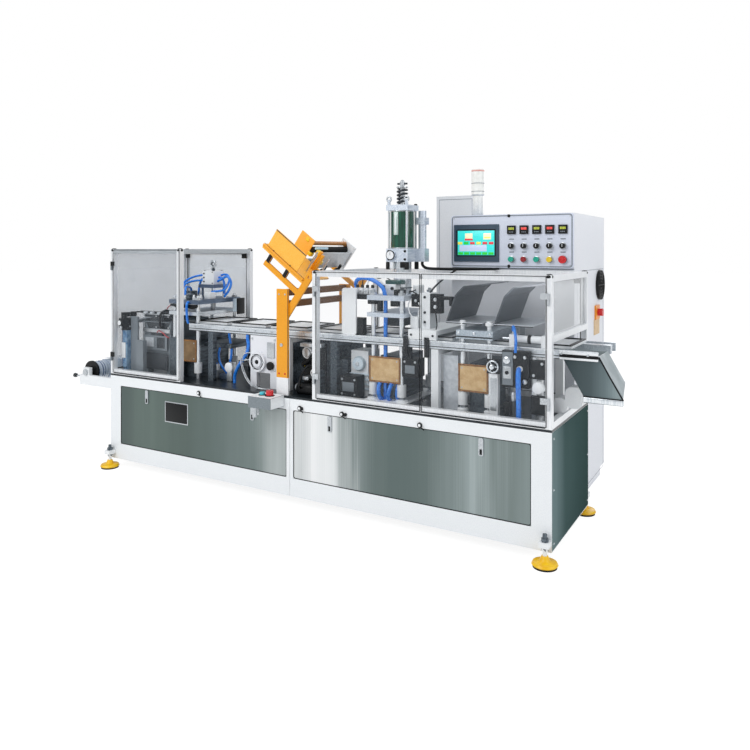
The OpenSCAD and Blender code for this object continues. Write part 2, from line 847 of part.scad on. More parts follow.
// Lower tool housings between the columns, and the plain plates on the front columns
tool_z = 705;
tool_h = 137;
tool_clear = 3;
tool_y = tray_y + 5;
tool_back = 2 * conveyor_mid - tool_y;
plate_t = 4;
plate_out = 18;

module tool_blocks() color("gray") {
    for (p = presses) {
        xs = column_xs(p);
        slab([xs[0] + collar_r + tool_clear, tool_y, table_z],
            [xs[1] - collar_r - tool_clear, tool_back, tool_z + tool_h]);
    }
}

module tool_plates() color("tan") {
    front = column_ys[0] - column_r;
    for (p = presses) {
        xs = column_xs(p);
        slab([xs[0] - plate_out, front - plate_t, tool_z], [xs[1], front, tool_z + tool_h]);
    }
}

// Sliding platen with its ram
module platen(p, low, ram, ram_top) {
    difference() {
        press_plate(p, low, platen_t);
        for (x = column_xs(p), y = column_ys)
            upright(x, y, low - eps, low + platen_t + eps, column_r + slide_fit);
        upright(seal_hose[0], seal_hose[1], low - eps, low + platen_t + eps, hose_hole_r);
    }
    upright(ram[0], ram[1], low + platen_t - eps, ram_top, ram_r);
}

platen_gap = 8;
tool_head_h = 56;
form_platen_z = tray_top + stroke + platen_gap;
seal_platen_z = form_platen_z + tool_head_h;

module forming_head() color("slategray") {
    platen(presses[0], form_platen_z, form_ram, form_head_z + crosshead_t - eps);
}

module sealing_head() color("slategray") {
    platen(presses[1], seal_platen_z, seal_ram, seal_head_z + crosshead_t - eps);
    slab([seal_x - seal_pitch / 4, conveyor_mid - tray_w / 3, seal_platen_z - tool_head_h],
         [seal_x + seal_pitch / 4, conveyor_mid + tray_w / 3, seal_platen_z + eps]);
}

// Forming cylinder on standoffs with a lifting eye
form_cyl_w = 96;
form_plate_w = 134;
form_cyl_h = 88;
standoff_h = 68;
standoff_r = 8;
eye_r = 22;
eye_t = 12;
eye_hole_r = 12;
// Bridge over the conveyor with an upright cylinder
bridge_l = 160;
bridge_step = 29;
bridge_x = seal_x + seal_pitch / 2 + head_edge + bridge_step + bridge_l / 2;
bridge_t = 24;
bridge_gap = 16;
bridge_cyl_w = 58;
bridge_cyl_d = 90;
bridge_cyl_h = 184;
bridge_cyl_y = 200;
bridge_cyl_x = bridge_x - 24;
bridge_z = tray_top + bridge_gap;
// Cross cylinder at the outlet
out_cyl_x = cut_x + 181;
out_cyl_l = half_l - 2 * profile_w - out_cyl_x;
out_cyl_r = 18;
out_cyl_end = 24;
out_cyl_edge = 4;
out_cyl_y = conveyor_y + 30;
lower_cyl_r = 50;

module air_cylinders() color("whitesmoke") {
    form_z = form_head_z + crosshead_t;
    plate_z = form_z + standoff_h;
    cyl_top = plate_z + platen_t + form_cyl_h;
    for (dx = [-1, 1], dy = [-1, 1])
        upright(form_ram[0] + dx * form_cyl_w / 2,
            form_ram[1] + dy * form_cyl_w / 2, form_z, plate_z + eps, standoff_r);
    slab([form_ram[0] - form_plate_w / 2, form_ram[1] - form_plate_w / 2, plate_z],
         [form_ram[0] + form_plate_w / 2, form_ram[1] + form_plate_w / 2, plate_z + platen_t]);
    slab([form_ram[0] - form_cyl_w / 2, form_ram[1] - form_cyl_w / 2, plate_z + platen_t - eps],
         [form_ram[0] + form_cyl_w / 2, form_ram[1] + form_cyl_w / 2, cyl_top]);
    difference() {
        union() {
            cross_bar(form_ram[0], cyl_top + eye_r * 2,
                form_ram[1] - eye_t / 2, form_ram[1] + eye_t / 2, eye_r);
            upright(form_ram[0], form_ram[1], cyl_top - eps, cyl_top + eye_r * 5 / 4, eye_t / 3);
        }
        cross_bar(form_ram[0], cyl_top + eye_r * 2, form_ram[1] - eye_t,
            form_ram[1] + eye_t, eye_hole_r);
    }
    slab([bridge_x - bridge_l / 2, conveyor_y, bridge_z],
        [bridge_x + bridge_l / 2, conveyor_back, bridge_z + bridge_t]);
    for (y = [conveyor_y, conveyor_back - rail_t])
        slab([bridge_x - bridge_l / 2, y, rail_z],
            [bridge_x + bridge_l / 2, y + rail_t, bridge_z + eps]);
    slab([bridge_cyl_x - bridge_cyl_w / 2, bridge_cyl_y, bridge_z + bridge_t - eps],
         [bridge_cyl_x + bridge_cyl_w / 2, bridge_cyl_y + bridge_cyl_d,
         bridge_z + bridge_t + bridge_cyl_h]);
    for (x = [out_cyl_x, out_cyl_x + out_cyl_l - out_cyl_end])
        slab([x, conveyor_y, rail_z],
             [x + out_cyl_end, out_cyl_y + out_cyl_r + out_cyl_edge,
             rail_z + 3 * out_cyl_r + out_cyl_edge]);
    long_bar(out_cyl_y, rail_z + 2 * out_cyl_r, out_cyl_x + out_cyl_edge,
        out_cyl_x + out_cyl_l - out_cyl_edge, out_cyl_r);
    difference() {
        upright(seal_x, conveyor_mid, seal_head_z + crosshead_t, booster_z, lower_cyl_r);
        upright(seal_x, conveyor_mid, seal_head_z, seal_head_z + crosshead_t + stroke, ram_r + ram_fit);
    }
}

// Black valve boxes, sensors and clamps
valve_t = 40;
valve_z = 760;
valve_x = cut_x + 160;
valve_l = 130;
manifold_x = seal_x - seal_pitch / 2 - head_edge;
manifold_l = 120;
manifold_y = [150, 240];

// Box on the table and sensor on the rail before the sealing press
table_box_x = right_guard_x + 101;
table_box = [108, 80, 121];
sensor_x = right_guard_x + 167;
sensor = [73, 40, 95];
// Box hung under the front rail after the sealing press
hung_in = 35;
hung_box = [90, 80, 95];
hung_drop = 59;
hanger_in = 5;
hanger_w = 20;
// Clamps on the front rail and valves on the bridge cylinder
clamp_offs = [-103, 17];
clamp_w = 24;
clamp_t = 13;
clamp_drop = 44;
clamp_up = 16;
side_valve_w = 50;
side_valve_zs = [110, 175];
foot_valve_in = 4;
foot_valve = [42, 80, 60];
foot_valve_out = 20;
right_valve_w = 62;
right_valve_zs = [80, 180];

module valve_blocks() color("black") {
    bridge_left = bridge_cyl_x - bridge_cyl_w / 2;
    bridge_right = bridge_cyl_x + bridge_cyl_w / 2;
    bridge_top = bridge_z + bridge_t;
    hung_x = bridge_x - bridge_l / 2 - hung_in;
    translate([table_box_x, conveyor_y, table_z]) cube(table_box);
    translate([sensor_x, conveyor_y + sheet_t, rail_z]) cube(sensor);
    translate([hung_x, conveyor_y, rail_low - hung_drop - hung_box[2]]) cube(hung_box);
    slab([bridge_x - bridge_l / 2 - hanger_in, conveyor_y, rail_low - hung_drop - eps],
         [bridge_x - bridge_l / 2 - hanger_in + hanger_w, conveyor_y + hanger_w, rail_low]);
    for (d = clamp_offs)
        slab([bridge_x + d, conveyor_y - clamp_t, rail_low - clamp_drop],
            [bridge_x + d + clamp_w, conveyor_y, rail_z + clamp_up]);
    slab([bridge_left - side_valve_w, bridge_cyl_y, bridge_top + side_valve_zs[0]],
         [bridge_left, bridge_cyl_y + valve_t, bridge_top + side_valve_zs[1]]);
    translate([bridge_left - foot_valve_in - foot_valve[0],
        bridge_cyl_y - foot_valve_out, bridge_top]) cube(foot_valve);
    slab([bridge_right, bridge_cyl_y, bridge_top + right_valve_zs[0]],
         [bridge_right + right_valve_w, bridge_cyl_y + valve_t, bridge_top + right_valve_zs[1]]);
    // valve on the front rail at the outlet
    slab([valve_x, conveyor_y - valve_t, valve_z],
        [valve_x + valve_l, conveyor_y, rail_z - rail_h / 3]);
    // manifold on the sealing crosshead
    slab([manifold_x - manifold_l, manifold_y[0], seal_head_z],
        [manifold_x, manifold_y[1], seal_head_z + crosshead_t]);
}

// White covers: sheet before the sealing press, gear cover, light panel and pack guide at the outlet
sheet_x = right_guard_x + 114;
sheet_w = 89;
sheet_h = 255;
sheet_t = 12;
sheet_r = 16;
gear_x = right_guard_x + 120;
gear_y = conveyor_y + 87;
gear_w = 110;
gear_d = 125;
gear_h = 249;
light_x = cut_x - 180;
light_w = 80;
guide_y = 220;
guide_w = 80;
guide_r = 30;
guide_z = table_z + profile_w;

module station_covers() color("white") {
    across(conveyor_y, conveyor_y + sheet_t)
        rounded([sheet_x, rail_z], [sheet_x + sheet_w, rail_z + sheet_h], sheet_r);
    slab([gear_x, gear_y, table_z], [gear_x + gear_w, gear_y + gear_d, table_z + gear_h]);
    slab([light_x, conveyor_y + leg_d + sheet_t, table_z],
        [light_x + light_w, conveyor_y + leg_d + 2 * sheet_t, rail_low - cross_h]);
    across(guide_y, guide_y + guide_w) {
        rounded([half_l - 2 * guide_r, guide_z], [half_l + guide_r / 3, guide_z + 72], guide_r);
        square_low = guide_z + 27;
        rounded([half_l, square_low], [half_l + guide_w, square_low + 100], guide_r);
        translate([half_l - 2 * guide_r, guide_z]) square([guide_r, guide_r]);
    }
}

// Tie rod places at the corners of the booster blocks
tie_off = booster_w / 2 - tie_r * 2;
gauge_r = 26;
gauge_t = 12;
side_cyl_r = 22;
side_cap_w = 54;
side_cap_h = 38;
side_x = seal_x + booster_w / 2 + side_cap_w / 2;
side_y = conveyor_mid + 60;
lift_r = 9;
lift_h = 30;

module booster_blocks() color("silver") {
    for (b = [[booster_z, booster_low_h], [booster_top_z, booster_top_h]])
        translate([seal_x - booster_w / 2, conveyor_mid - booster_w / 2, b[0]])
            cube([booster_w, booster_w, b[1]]);
    cross_bar(seal_x - booster_w / 4, booster_z + booster_low_h / 2,
              conveyor_mid - booster_w / 2 - gauge_t, conveyor_mid - booster_w / 2 + eps, gauge_r);
    for (dx = [-1, 1])
        upright(seal_x + dx * tie_off, conveyor_mid - tie_off,
            bellows_z - eps, bellows_z + lift_h, lift_r);
    upright(side_x, side_y, booster_z, booster_top_z - eps, side_cyl_r);
    for (b = [[booster_z, booster_low_h], [booster_top_z - 2 * side_cap_h, side_cap_h]])
        translate([side_x - side_cap_w / 2, side_y - side_cap_w / 2, b[0]])
            cube([side_cap_w, side_cap_w, b[1]]);
}

module booster_barrel() color("seagreen")
    upright(seal_x, conveyor_mid, booster_low_top, booster_top_z, booster_barrel_d / 2);

module booster_rods() color("silver") {
    for (dx = [-1, 1], dy = [-1, 1])
        upright(seal_x + dx * tie_off, conveyor_mid + dy * tie_off,
            booster_low_top, booster_top_z, tie_r);
}

bellows_dip = 8;

module booster_bellows() color("gray") translate([seal_x, conveyor_mid, bellows_z]) rotate_extrude()
    polygon(concat(
        [[0, 0]],
        [for (i = [0 : bellows_n - 1], k = [0, 1])
            [bellows_d / 2 - k * bellows_dip, (i + k / 2) * bellows_h / bellows_n]],
        [[bellows_d / 2, bellows_h], [bellows_d / 5, bellows_h], [bellows_d / 5, bellows_h + tip_h],
         [0, bellows_h + tip_h]]
    ));

front_strut_y = feeder_in + feeder_post_d;
strut_t = 2 * feeder_plate_t;
back_strut_y = base_w - feeder_in - feeder_post_d - strut_t;

module feeder_posts() color("orange") {
    for (y = feeder_ys)
        slab([-feeder_x - feeder_post_w, y, table_z + pedestal_h],
            [-feeder_x, y + feeder_post_d, feeder_top]);
}

// Strut foot, lower arm, studs and tray places in the sloping axes of the feeder
strut_u = 95;
strut_low = -240;
strut_hole_r = 9;
strut_hole_in = 26;
arm_low = -100;
arm_h = 30;
arm_l = 277;
tray_floor = 10;
flange_h = 26;
flange_l = 338;
tray_stop_u = 31;
back_plate_l = 110;
stud_us = [-165, -24];
stud_w = 12;

module feeder_struts() color("orange") on_slope() {
    for (y = [front_strut_y, back_strut_y]) difference() {
        union() {
            slab([strut_u, y, strut_low], [strut_u + strut_w, y + strut_t, strut_low + strut_l]);
            slab([strut_u - arm_l, y, arm_low], [strut_u + eps, y + strut_t, arm_low + arm_h]);
        }
        cross_bar(strut_u + strut_w / 2, strut_low + strut_l - strut_hole_in,
            y - eps, y + strut_t + eps, strut_hole_r);
    }
    for (u = stud_us)
        slab([u, front_strut_y, arm_low + arm_h - eps],
            [u + stud_w, front_strut_y + feeder_plate_t, -flange_h]);
}

module feeder_tray() color("orange") on_slope() {
    tray_back = front_strut_y + card_tray_w + 2 * feeder_plate_t;
    slab([strut_u - flange_l, front_strut_y, -tray_floor], [strut_u, tray_back, 0]);
    slab([strut_u - flange_l, front_strut_y, -flange_h],
        [strut_u, front_strut_y + feeder_plate_t, -tray_floor + eps]);
    slab([tray_stop_u - card_tray_l, front_strut_y, -eps],
        [tray_stop_u, front_strut_y + feeder_plate_t, card_tray_h]);
    slab([tray_stop_u - card_tray_l, tray_back - feeder_plate_t, -eps],
         [tray_stop_u - card_tray_l + back_plate_l, tray_back, card_tray_h]);
}

beam_h = 36;
beam_in = 10;
beam_strut_in = 26;
beam_drops = [40, 105];

module feeder_beams() color("saddlebrown") {
    for (drop = beam_drops)
        slab([-feeder_x - feeder_post_w + beam_in, feeder_in + feeder_post_d, feeder_top - drop],
             [-feeder_x - beam_strut_in, base_w - feeder_in - feeder_post_d,
             feeder_top - drop + beam_h]);
}

// Pick-up rollers and a guide sheet between the card tray and the back bracket
pickup_bars = [[-127, 89, 12], [-102, 60, 18], [-100, -20, 14]];
bracket_u = [-160, -45];
bracket_top = 110;
sheet_u = -57;
sheet_ws = [-40, 70];
pickup_sheet_t = 5;

module feeder_pickup() color("silver") on_slope() {
    near = front_strut_y + card_tray_w + 2 * feeder_plate_t;
    for (b = pickup_bars) cross_bar(b[0], b[1], near, back_strut_y + eps, b[2]);
    slab([sheet_u, near, sheet_ws[0]], [sheet_u + pickup_sheet_t, back_strut_y + eps, sheet_ws[1]]);
    slab([bracket_u[0], back_strut_y, arm_low + arm_h],
        [bracket_u[1], back_strut_y + strut_t, bracket_top]);
}

// Bent sheet hoods over the cutting press, each with a shelf and a back post
hood_t = 4;
hood_up = 102;
hood_z = rail_z + hood_up;
hood_l = 190;
hood_h = 190;
hood_lean = 50;
hood_bend = 45;
hood_drop = 10;
hood_front = conveyor_y + rail_t;
hood_post_in = 6;
hood_post_w = 28;
hood_offs = [-154, 100];
hood_xs = [for (d = hood_offs) cut_x + d];
// Inner face of a hood from its foot over the bend to its free edge
hood_line = [
    [0, 0], [hood_lean, hood_h - hood_drop - hood_bend],
    [hood_lean + hood_bend, hood_h - hood_drop], [hood_l, hood_h]
];

module cutting_hoods() color("gray") {
    for (x = hood_xs) translate([x, 0, hood_z]) {
        across(hood_front, conveyor_back) {
            polygon(concat(hood_line,
                [for (i = [len(hood_line) - 1 : -1 : 0]) hood_line[i] + [hood_t, -hood_t]]));
            translate([0, -hood_t]) square([hood_l, hood_t + eps]);
        }
        slab([hood_post_in, conveyor_back - rail_t, rail_z - hood_z],
            [hood_post_in + hood_post_w, conveyor_back, -hood_t + eps]);
    }
}

module handwheel() color("silver") translate([wheel_x, wheel_y, wheel_z])
    rotate([-90, 0, 0]) difference() {
    union() {
        translate([0, 0, wheel_t / 2]) rotate_extrude() translate([wheel_r, 0]) circle(r = wheel_rim_r);
        cylinder(h = wheel_t, r = wheel_hub_r);
        for (a = [0, 120, 240]) rotate([0, 0, a]) translate([0, 0, wheel_t / 2]) rotate([0, 90, 0])
            cylinder(h = wheel_r, r = wheel_rim_r / 2);
    }
    translate([0, 0, -eps]) cylinder(h = wheel_t + 2 * eps, r = wheel_shaft_r + wheel_fit);
}

// Sloping duct that drops finished packs past the right end, with a lip under its front wall
chute_y0 = conveyor_y + rail_t;
chute_y1 = chute_y0 + chute_w;
chute_top = rail_z - rail_h / 2;
chute_lip = 25;
outlet_rise = 46;

// Side outline of the chute in x and z
function chute_outline(inset) = [
    [conveyor_r_x - chute_mouth + inset, chute_top],
    [conveyor_r_x - inset, chute_top],
    [conveyor_r_x + chute_run - inset, chute_z],
    [conveyor_r_x + chute_run - chute_mouth + inset, chute_z]
];

// Room under the outlet's edge, which climbs towards the back
module outlet_cut() translate([conveyor_r_x - chute_mouth, 0, 0]) rotate([90, 0, 90])
    linear_extrude(chute_mouth + 2 * chute_run) polygon([
        [chute_y0 + chute_t, chute_z], [chute_y0 + chute_t, chute_z - chute_lip],
        [chute_y1 + eps, chute_z - chute_lip], [chute_y1 + eps, chute_z + outlet_rise]
    ]);

module chute_sides() color("silver") difference() {
    union() {
        for (y = [chute_y0, chute_y1 - chute_t]) across(y, y + chute_t) polygon(chute_outline(0));
        slab([conveyor_r_x + chute_run - chute_mouth, chute_y0, chute_z - chute_lip],
             [conveyor_r_x + chute_run, chute_y0 + chute_t, chute_z + eps]);
    }
    outlet_cut();
}

module chute_slides() color("silver") difference() {
    across(chute_y0 + chute_t, chute_y1 - chute_t) difference() {
        polygon(chute_outline(0));
        offset(delta = eps) polygon(chute_outline(chute_t));
    }
    outlet_cut();
}

// Spacer blocks that bolt the cabinet to the back rail of the base
tie_in = 80;
tie_w = 50;

module control_cabinet() color("whitesmoke") {
    slab([cabinet_l_x, cabinet_y, plinth_h], [cabinet_x, cabinet_back, cabinet_top]);
    slab([cabinet_l_x + plinth_in, cabinet_y + plinth_in, 0],
         [cabinet_x - plinth_in, cabinet_back - plinth_in, plinth_h + eps]);
    for (x = [cabinet_l_x + tie_in, cabinet_x - tie_in - tie_w])
        slab([x, back_y, panel_high], [x + tie_w, cabinet_y + eps, panel_high + tie_w]);
    slab([cabinet_l_x - rear_w, cabinet_y + rear_in, 0],
        [cabinet_l_x + eps, cabinet_y + rear_in + rear_d, rear_top]);
}

panel_y = cabinet_y - control_t;
panel_z = cabinet_top - control_h;

module control_panel() color("lightgray")
    across(panel_y, cabinet_y) rounded([cabinet_l_x, panel_z], [cabinet_x, cabinet_top], control_r);

hmi_in = 22;
hmi_up = 32;

module touch_screen() color("midnightblue")
    slab([cabinet_l_x + hmi_in, panel_y - hmi_t, panel_z + hmi_up],
         [cabinet_l_x + hmi_in + hmi_w, panel_y, panel_z + hmi_up + hmi_h]);

// Columns of instruments and the heights of the three rows over the foot of the control panel
control_in = 56;
control_pitch = 72;
control_n = 5;
controllers_up = 212;
selectors_up = 122;
buttons_up = 48;
controller_t = 10;
button_t = 24;

module panel_controls() color("black") {
    for (i = [0 : control_n - 1]) {
        x = cabinet_x - control_in - (control_n - 1 - i) * control_pitch;
        slab([x - controller_w / 2, panel_y - controller_t,
            panel_z + controllers_up - controller_w / 2],
             [x + controller_w / 2, panel_y, panel_z + controllers_up + controller_w / 2]);
        cross_bar(x, panel_z + selectors_up, panel_y - button_t, panel_y, button_d / 2);
        cross_bar(x, panel_z + buttons_up, panel_y - button_t,
            panel_y, (i == control_n - 1 ? stop_d : button_d) / 2);
    }
}

// Fan grille, main switch and a bare plate on the side of the cabinet, placed from its back and top
fan_in = 141;
fan_drop = 413;
fan_t = 14;
switch_in = 211;
switch_drop = 574;
switch_w = 100;
switch_h = 84;
switch_t = 10;
handle_l = 30;
handle_r = 22;
label_drop = 657;
label_w = 136;
label_h = 100;
label_t = 3;

module side_fittings() color("black") {
    long_bar(cabinet_back - fan_in, cabinet_top - fan_drop, cabinet_x, cabinet_x + fan_t, fan_d / 2);
    switch_y = cabinet_back - switch_in;
    slab([cabinet_x, switch_y - switch_w / 2, cabinet_top - switch_drop - switch_h / 2],
         [cabinet_x + switch_t, switch_y + switch_w / 2, cabinet_top - switch_drop + switch_h / 2]);
    long_bar(switch_y, cabinet_top - switch_drop,
        cabinet_x + switch_t - eps, cabinet_x + switch_t + handle_l, handle_r);
    slab([cabinet_x, switch_y - label_w / 2, cabinet_top - label_drop - label_h / 2],
         [cabinet_x + label_t, switch_y + label_w / 2,
         cabinet_top - label_drop + label_h / 2 - switch_t]);
}

lamp_in = 120;
lamp_back = 105;
lamp_foot_r = 30;

module signal_lamp() color("whitesmoke") {
    upright(cabinet_l_x + lamp_in, cabinet_y + lamp_back,
        cabinet_top, cabinet_top + lamp_foot_h, lamp_foot_r);
    upright(cabinet_l_x + lamp_in, cabinet_y + lamp_back,
        cabinet_top + lamp_foot_h - eps, machine_top, lamp_d / 2);
}

// Pendant button box on the front of the base, with a cable gland below
box_w = 155;
box_in = 39;
box_h = 62;
box_up = 4;
box_button_d = 30;
box_button_t = 16;
box_stop_d = 40;
box_stop_t = 30;
gland_r = 14;
gland_h = 52;
gland_in = 36;

module button_box() color("gray") {
    top = table_z + box_up;
    slab([-box_in - box_w, -box_d, top - box_h], [-box_in, 0, top]);
    upright(-box_in - box_w / 3, -box_d / 2, top - eps, top + box_stop_t, box_stop_d / 2);
    upright(-box_in - 2 * box_w / 3, -box_d / 2, top - eps, top + box_button_t, box_button_d / 2);
    upright(-box_in - box_w + gland_in, -box_d + gland_r,
        top - box_h - gland_h, top - box_h + eps, gland_r);
}

// Hoses, each from fitting to fitting: radius, a direction the route never takes, and its points
form_port_z = form_head_z + crosshead_t + standoff_h + platen_t + form_cyl_h / 2;
form_head_top = form_head_z + crosshead_t;
seal_head_top = seal_head_z + crosshead_t;
valve_hose_x = valve_x + 88;
cable_z = 1300;
hoses = [
    [hose_r, [0, 1, 0], [
        [manifold_x - 104, 195, seal_head_top], [manifold_x - 104, 195, 1190],
        [manifold_x - 110, 190, 1220],
        [manifold_x - 94, 184, 1244], [manifold_x - 58, 178, 1254], [manifold_x - 10, 170, 1250],
        [manifold_x + 40, 163, 1232], [manifold_x + 78, 158, 1204],
        [seal_hose[0] - 4, seal_hose[1], 1170], [seal_hose[0], seal_hose[1], 1130],
        [seal_hose[0], seal_hose[1], 1000], [seal_hose[0], seal_hose[1], 800],
        [seal_hose[0], seal_hose[1], table_z]
    ]],
    [7, [0, 1, 0], [
        [form_ram[0] - form_cyl_w / 2, form_ram[1], form_port_z],
        [form_ram[0] - 70, form_ram[1], form_port_z],
        [form_ram[0] - 95, 352, 1208], [form_ram[0] - 107, 345, 1170], [form_ram[0] - 110, 340, 1125],
        [form_ram[0] - 110, 340, form_head_top]
    ]],
    [7, [0, 1, 0], [
        [form_ram[0] + form_cyl_w / 2, form_ram[1], form_port_z],
        [form_ram[0] + 68, form_ram[1], form_port_z],
        [form_ram[0] + 86, 364, 1208], [form_ram[0] + 89, 368, 1165], [form_ram[0] + 86, 370, 1120],
        [form_ram[0] + 86, 370, form_head_top]
    ]],
    [8, [0, 1, 0], [
        [-640, 230, rail_low], [-640, 230, 880], [-630, 227, 840], [-614, 222, 790], [-616, 216, 730],
        [-632, 211, 670], [-640, 210, 630], [-640, 210, table_z]
    ]],
    [10, [0, 1, 0], [
        [-404, 125, rail_low], [-404, 125, 880], [-396, 123, 845], [-404, 122, 805], [-430, 125, 765],
        [-470, 132, 725], [-506, 142, 680], [-526, 150, 640], [-526, 150, table_z]
    ]],
    [9, [1, 0, 0], [
        [valve_hose_x, conveyor_y - valve_t, 850], [valve_hose_x, 64, 850], [valve_hose_x, 55, 838],
        [valve_hose_x, 52, 812], [valve_hose_x, 54, 740],
        [valve_hose_x, 58, 660], [valve_hose_x, 58, table_z]
    ]],
    [5, [1, -1, 0], [
        [side_x, side_y, booster_z], [side_x, side_y, 1326],
        [side_x + 12, 382, 1312], [side_x + 36, 388, 1305],
        [side_x + 90, 402, 1303], [side_x + 180, 440, 1302],
        [side_x + 270, 505, 1302], [side_x + 312, 580, 1301],
        [side_x + 322, 640, cable_z], [side_x + 322, cabinet_y, cable_z]
    ]]
];
hose_sides = 8;

// Unit vector
function unit(v) = v / norm(v);

// Direction of a route at point i
function heading(p, i) = unit(p[min(i + 1, len(p) - 1)] - p[max(i - 1, 0)]);

// Ring of corners round point i of a route
function ring(p, i, r, side) = let (d = heading(p, i), a = unit(cross(d, side)), b = cross(d, a))
    [for (k = [0 : hose_sides - 1])
    p[i] + r * (a * cos(360 * k / hose_sides) + b * sin(360 * k / hose_sides))];

// Two triangles between corner k of ring i and the next ring
function hose_wall(i, k) = let (a = i * hose_sides + k, b = i * hose_sides + (k + 1) % hose_sides)
    [[a, a + hose_sides, b + hose_sides], [a, b + hose_sides, b]];

module tube(p, r, side) {
    last = len(p) - 1;
    polyhedron(
        points = [for (i = [0 : last]) each ring(p, i, r, side)],
        faces = concat(
            [[for (k = [0 : hose_sides - 1]) k]],
            [[for (k = [hose_sides - 1 : -1 : 0]) last * hose_sides + k]],
            [for (i = [0 : last - 1], k = [0 : hose_sides - 1]) each hose_wall(i, k)]
        )
    );
}

module air_hoses() color("royalblue") {
    for (h = hoses) tube(h[2], h[0], h[1]);
}

translate(origin_shift) {
    base_posts();
    base_rails();
    base_panels();
    table_plates();
    panel_latches();
    foot_studs();
    foot_pads();
    foot_soles();
    guard_posts();
    guard_rails();
    guard_panes();
    guard_hinges();
    left_guard_door();
    left_door_leaves();
    middle_guard_door();
    middle_door_leaves();
    right_guard_door();
    right_door_leaves();
    conveyor_rails();
    conveyor_legs();
    carrier_trays();
    drive_motor();
    film_arms();
    film_shafts();
    film_roll();
    film_web();
    film_heaters();
    air_service_unit();
    guide_columns();
    column_collars();
    crossheads();
    tool_blocks();
    tool_plates();
    forming_head();
    sealing_head();
    air_cylinders();
    air_hoses();
    valve_blocks();
    station_covers();
    booster_blocks();
    booster_barrel();
    booster_rods();
    booster_bellows();
    feeder_posts();
    feeder_struts();
    feeder_tray();
    feeder_beams();
    feeder_pickup();
    cutting_hoods();
    handwheel();
    chute_sides();
    chute_slides();
    control_cabinet();
    control_panel();
    touch_screen();
    panel_controls();
    side_fittings();
    signal_lamp();
    button_box();
}
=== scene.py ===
"""Finish of the card blister packing machine: paint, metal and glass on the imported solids, and the small
fittings that sit on them. Places are written in millimetres from the base's front edge at its middle
joint (x along the line, y to the back, z up from the floor)."""

import math

import bpy
import numpy as np
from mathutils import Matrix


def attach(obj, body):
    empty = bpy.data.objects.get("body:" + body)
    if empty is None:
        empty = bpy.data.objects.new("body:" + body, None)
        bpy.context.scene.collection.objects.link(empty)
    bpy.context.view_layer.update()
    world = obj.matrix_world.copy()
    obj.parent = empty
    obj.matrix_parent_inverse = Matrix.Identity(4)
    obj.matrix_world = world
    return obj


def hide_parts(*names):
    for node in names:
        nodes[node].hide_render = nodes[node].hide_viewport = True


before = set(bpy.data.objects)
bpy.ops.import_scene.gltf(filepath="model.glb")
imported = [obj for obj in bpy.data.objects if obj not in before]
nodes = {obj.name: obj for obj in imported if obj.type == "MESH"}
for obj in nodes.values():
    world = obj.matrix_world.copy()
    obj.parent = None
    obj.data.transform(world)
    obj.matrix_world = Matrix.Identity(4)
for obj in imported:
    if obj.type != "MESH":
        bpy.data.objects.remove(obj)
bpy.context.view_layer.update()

# from the base's middle joint to the middle of the whole machine, mm
SHIFT = np.array([61.5, -655.5, 0.0])


# Camera and light

scene = bpy.context.scene
scene.view_settings.view_transform = "Standard"

# camera fitted to the photograph's viewing angle: level, turned 30 degrees, framed by a shift
lens = bpy.data.cameras.new("camera")
lens.sensor_width = 36.0
lens.lens = 33.607
lens.shift_y = -0.167
lens.clip_end = 100.0
camera = bpy.data.objects.new("camera", lens)
camera.location = (2.3885, -3.7498, 1.4077)
camera.rotation_euler = (math.radians(90), 0, math.radians(30))
scene.collection.objects.link(camera)
scene.camera = camera


def soft_lamp(name, place, target, size, power):
    """A large square lamp at a place in metres that faces a target."""
    data = bpy.data.lights.new(name, "AREA")
    data.size = size
    data.energy = power
    lamp = bpy.data.objects.new(name, data)
    lamp.location = place
    aim = np.array(target, float) - np.array(place, float)
    flat = math.hypot(aim[0], aim[1])
    lamp.rotation_euler = (math.atan2(flat, -aim[2]), 0, math.atan2(-aim[0], aim[1]))
    scene.collection.objects.link(lamp)


soft_lamp("key", (-1.5, -5.5, 4.5), (0, 0, 0.8), 4.0, 180)
soft_lamp("side", (5.5, -1.0, 3.0), (0, 0, 0.8), 3.0, 62)
soft_lamp("top", (0, 0, 5.5), (0, 0, 0.5), 4.0, 68)
soft_lamp("back", (1.0, 6.0, 3.5), (0, 0, 0.8), 4.0, 100)


# Materials

def linear(code):
    """An sRGB hex colour as linear RGBA."""
    c = np.array([int(code[i:i + 2], 16) for i in (1, 3, 5)]) / 255
    return (*np.where(c <= 0.04045, c / 12.92, ((c + 0.055) / 1.055) ** 2.4).tolist(), 1.0)


def add(mat, kind, sockets=None, **settings):
    """One shader node with its settings; a socket's value is a number, a colour or another node's output."""
    node = mat.node_tree.nodes.new("ShaderNode" + kind)
    for key, value in settings.items():
        setattr(node, key, value)
    for key, value in (sockets or {}).items():
        if isinstance(value, bpy.types.NodeSocket):
            mat.node_tree.links.new(value, node.inputs[key])
        else:
            node.inputs[key].default_value = value
    return node


def blank(name):
    """An empty node material with its output."""
    mat = bpy.data.materials.new(name)
    mat.use_nodes = True
    mat.node_tree.nodes.clear()
    return mat, mat.node_tree.nodes.new("ShaderNodeOutputMaterial")


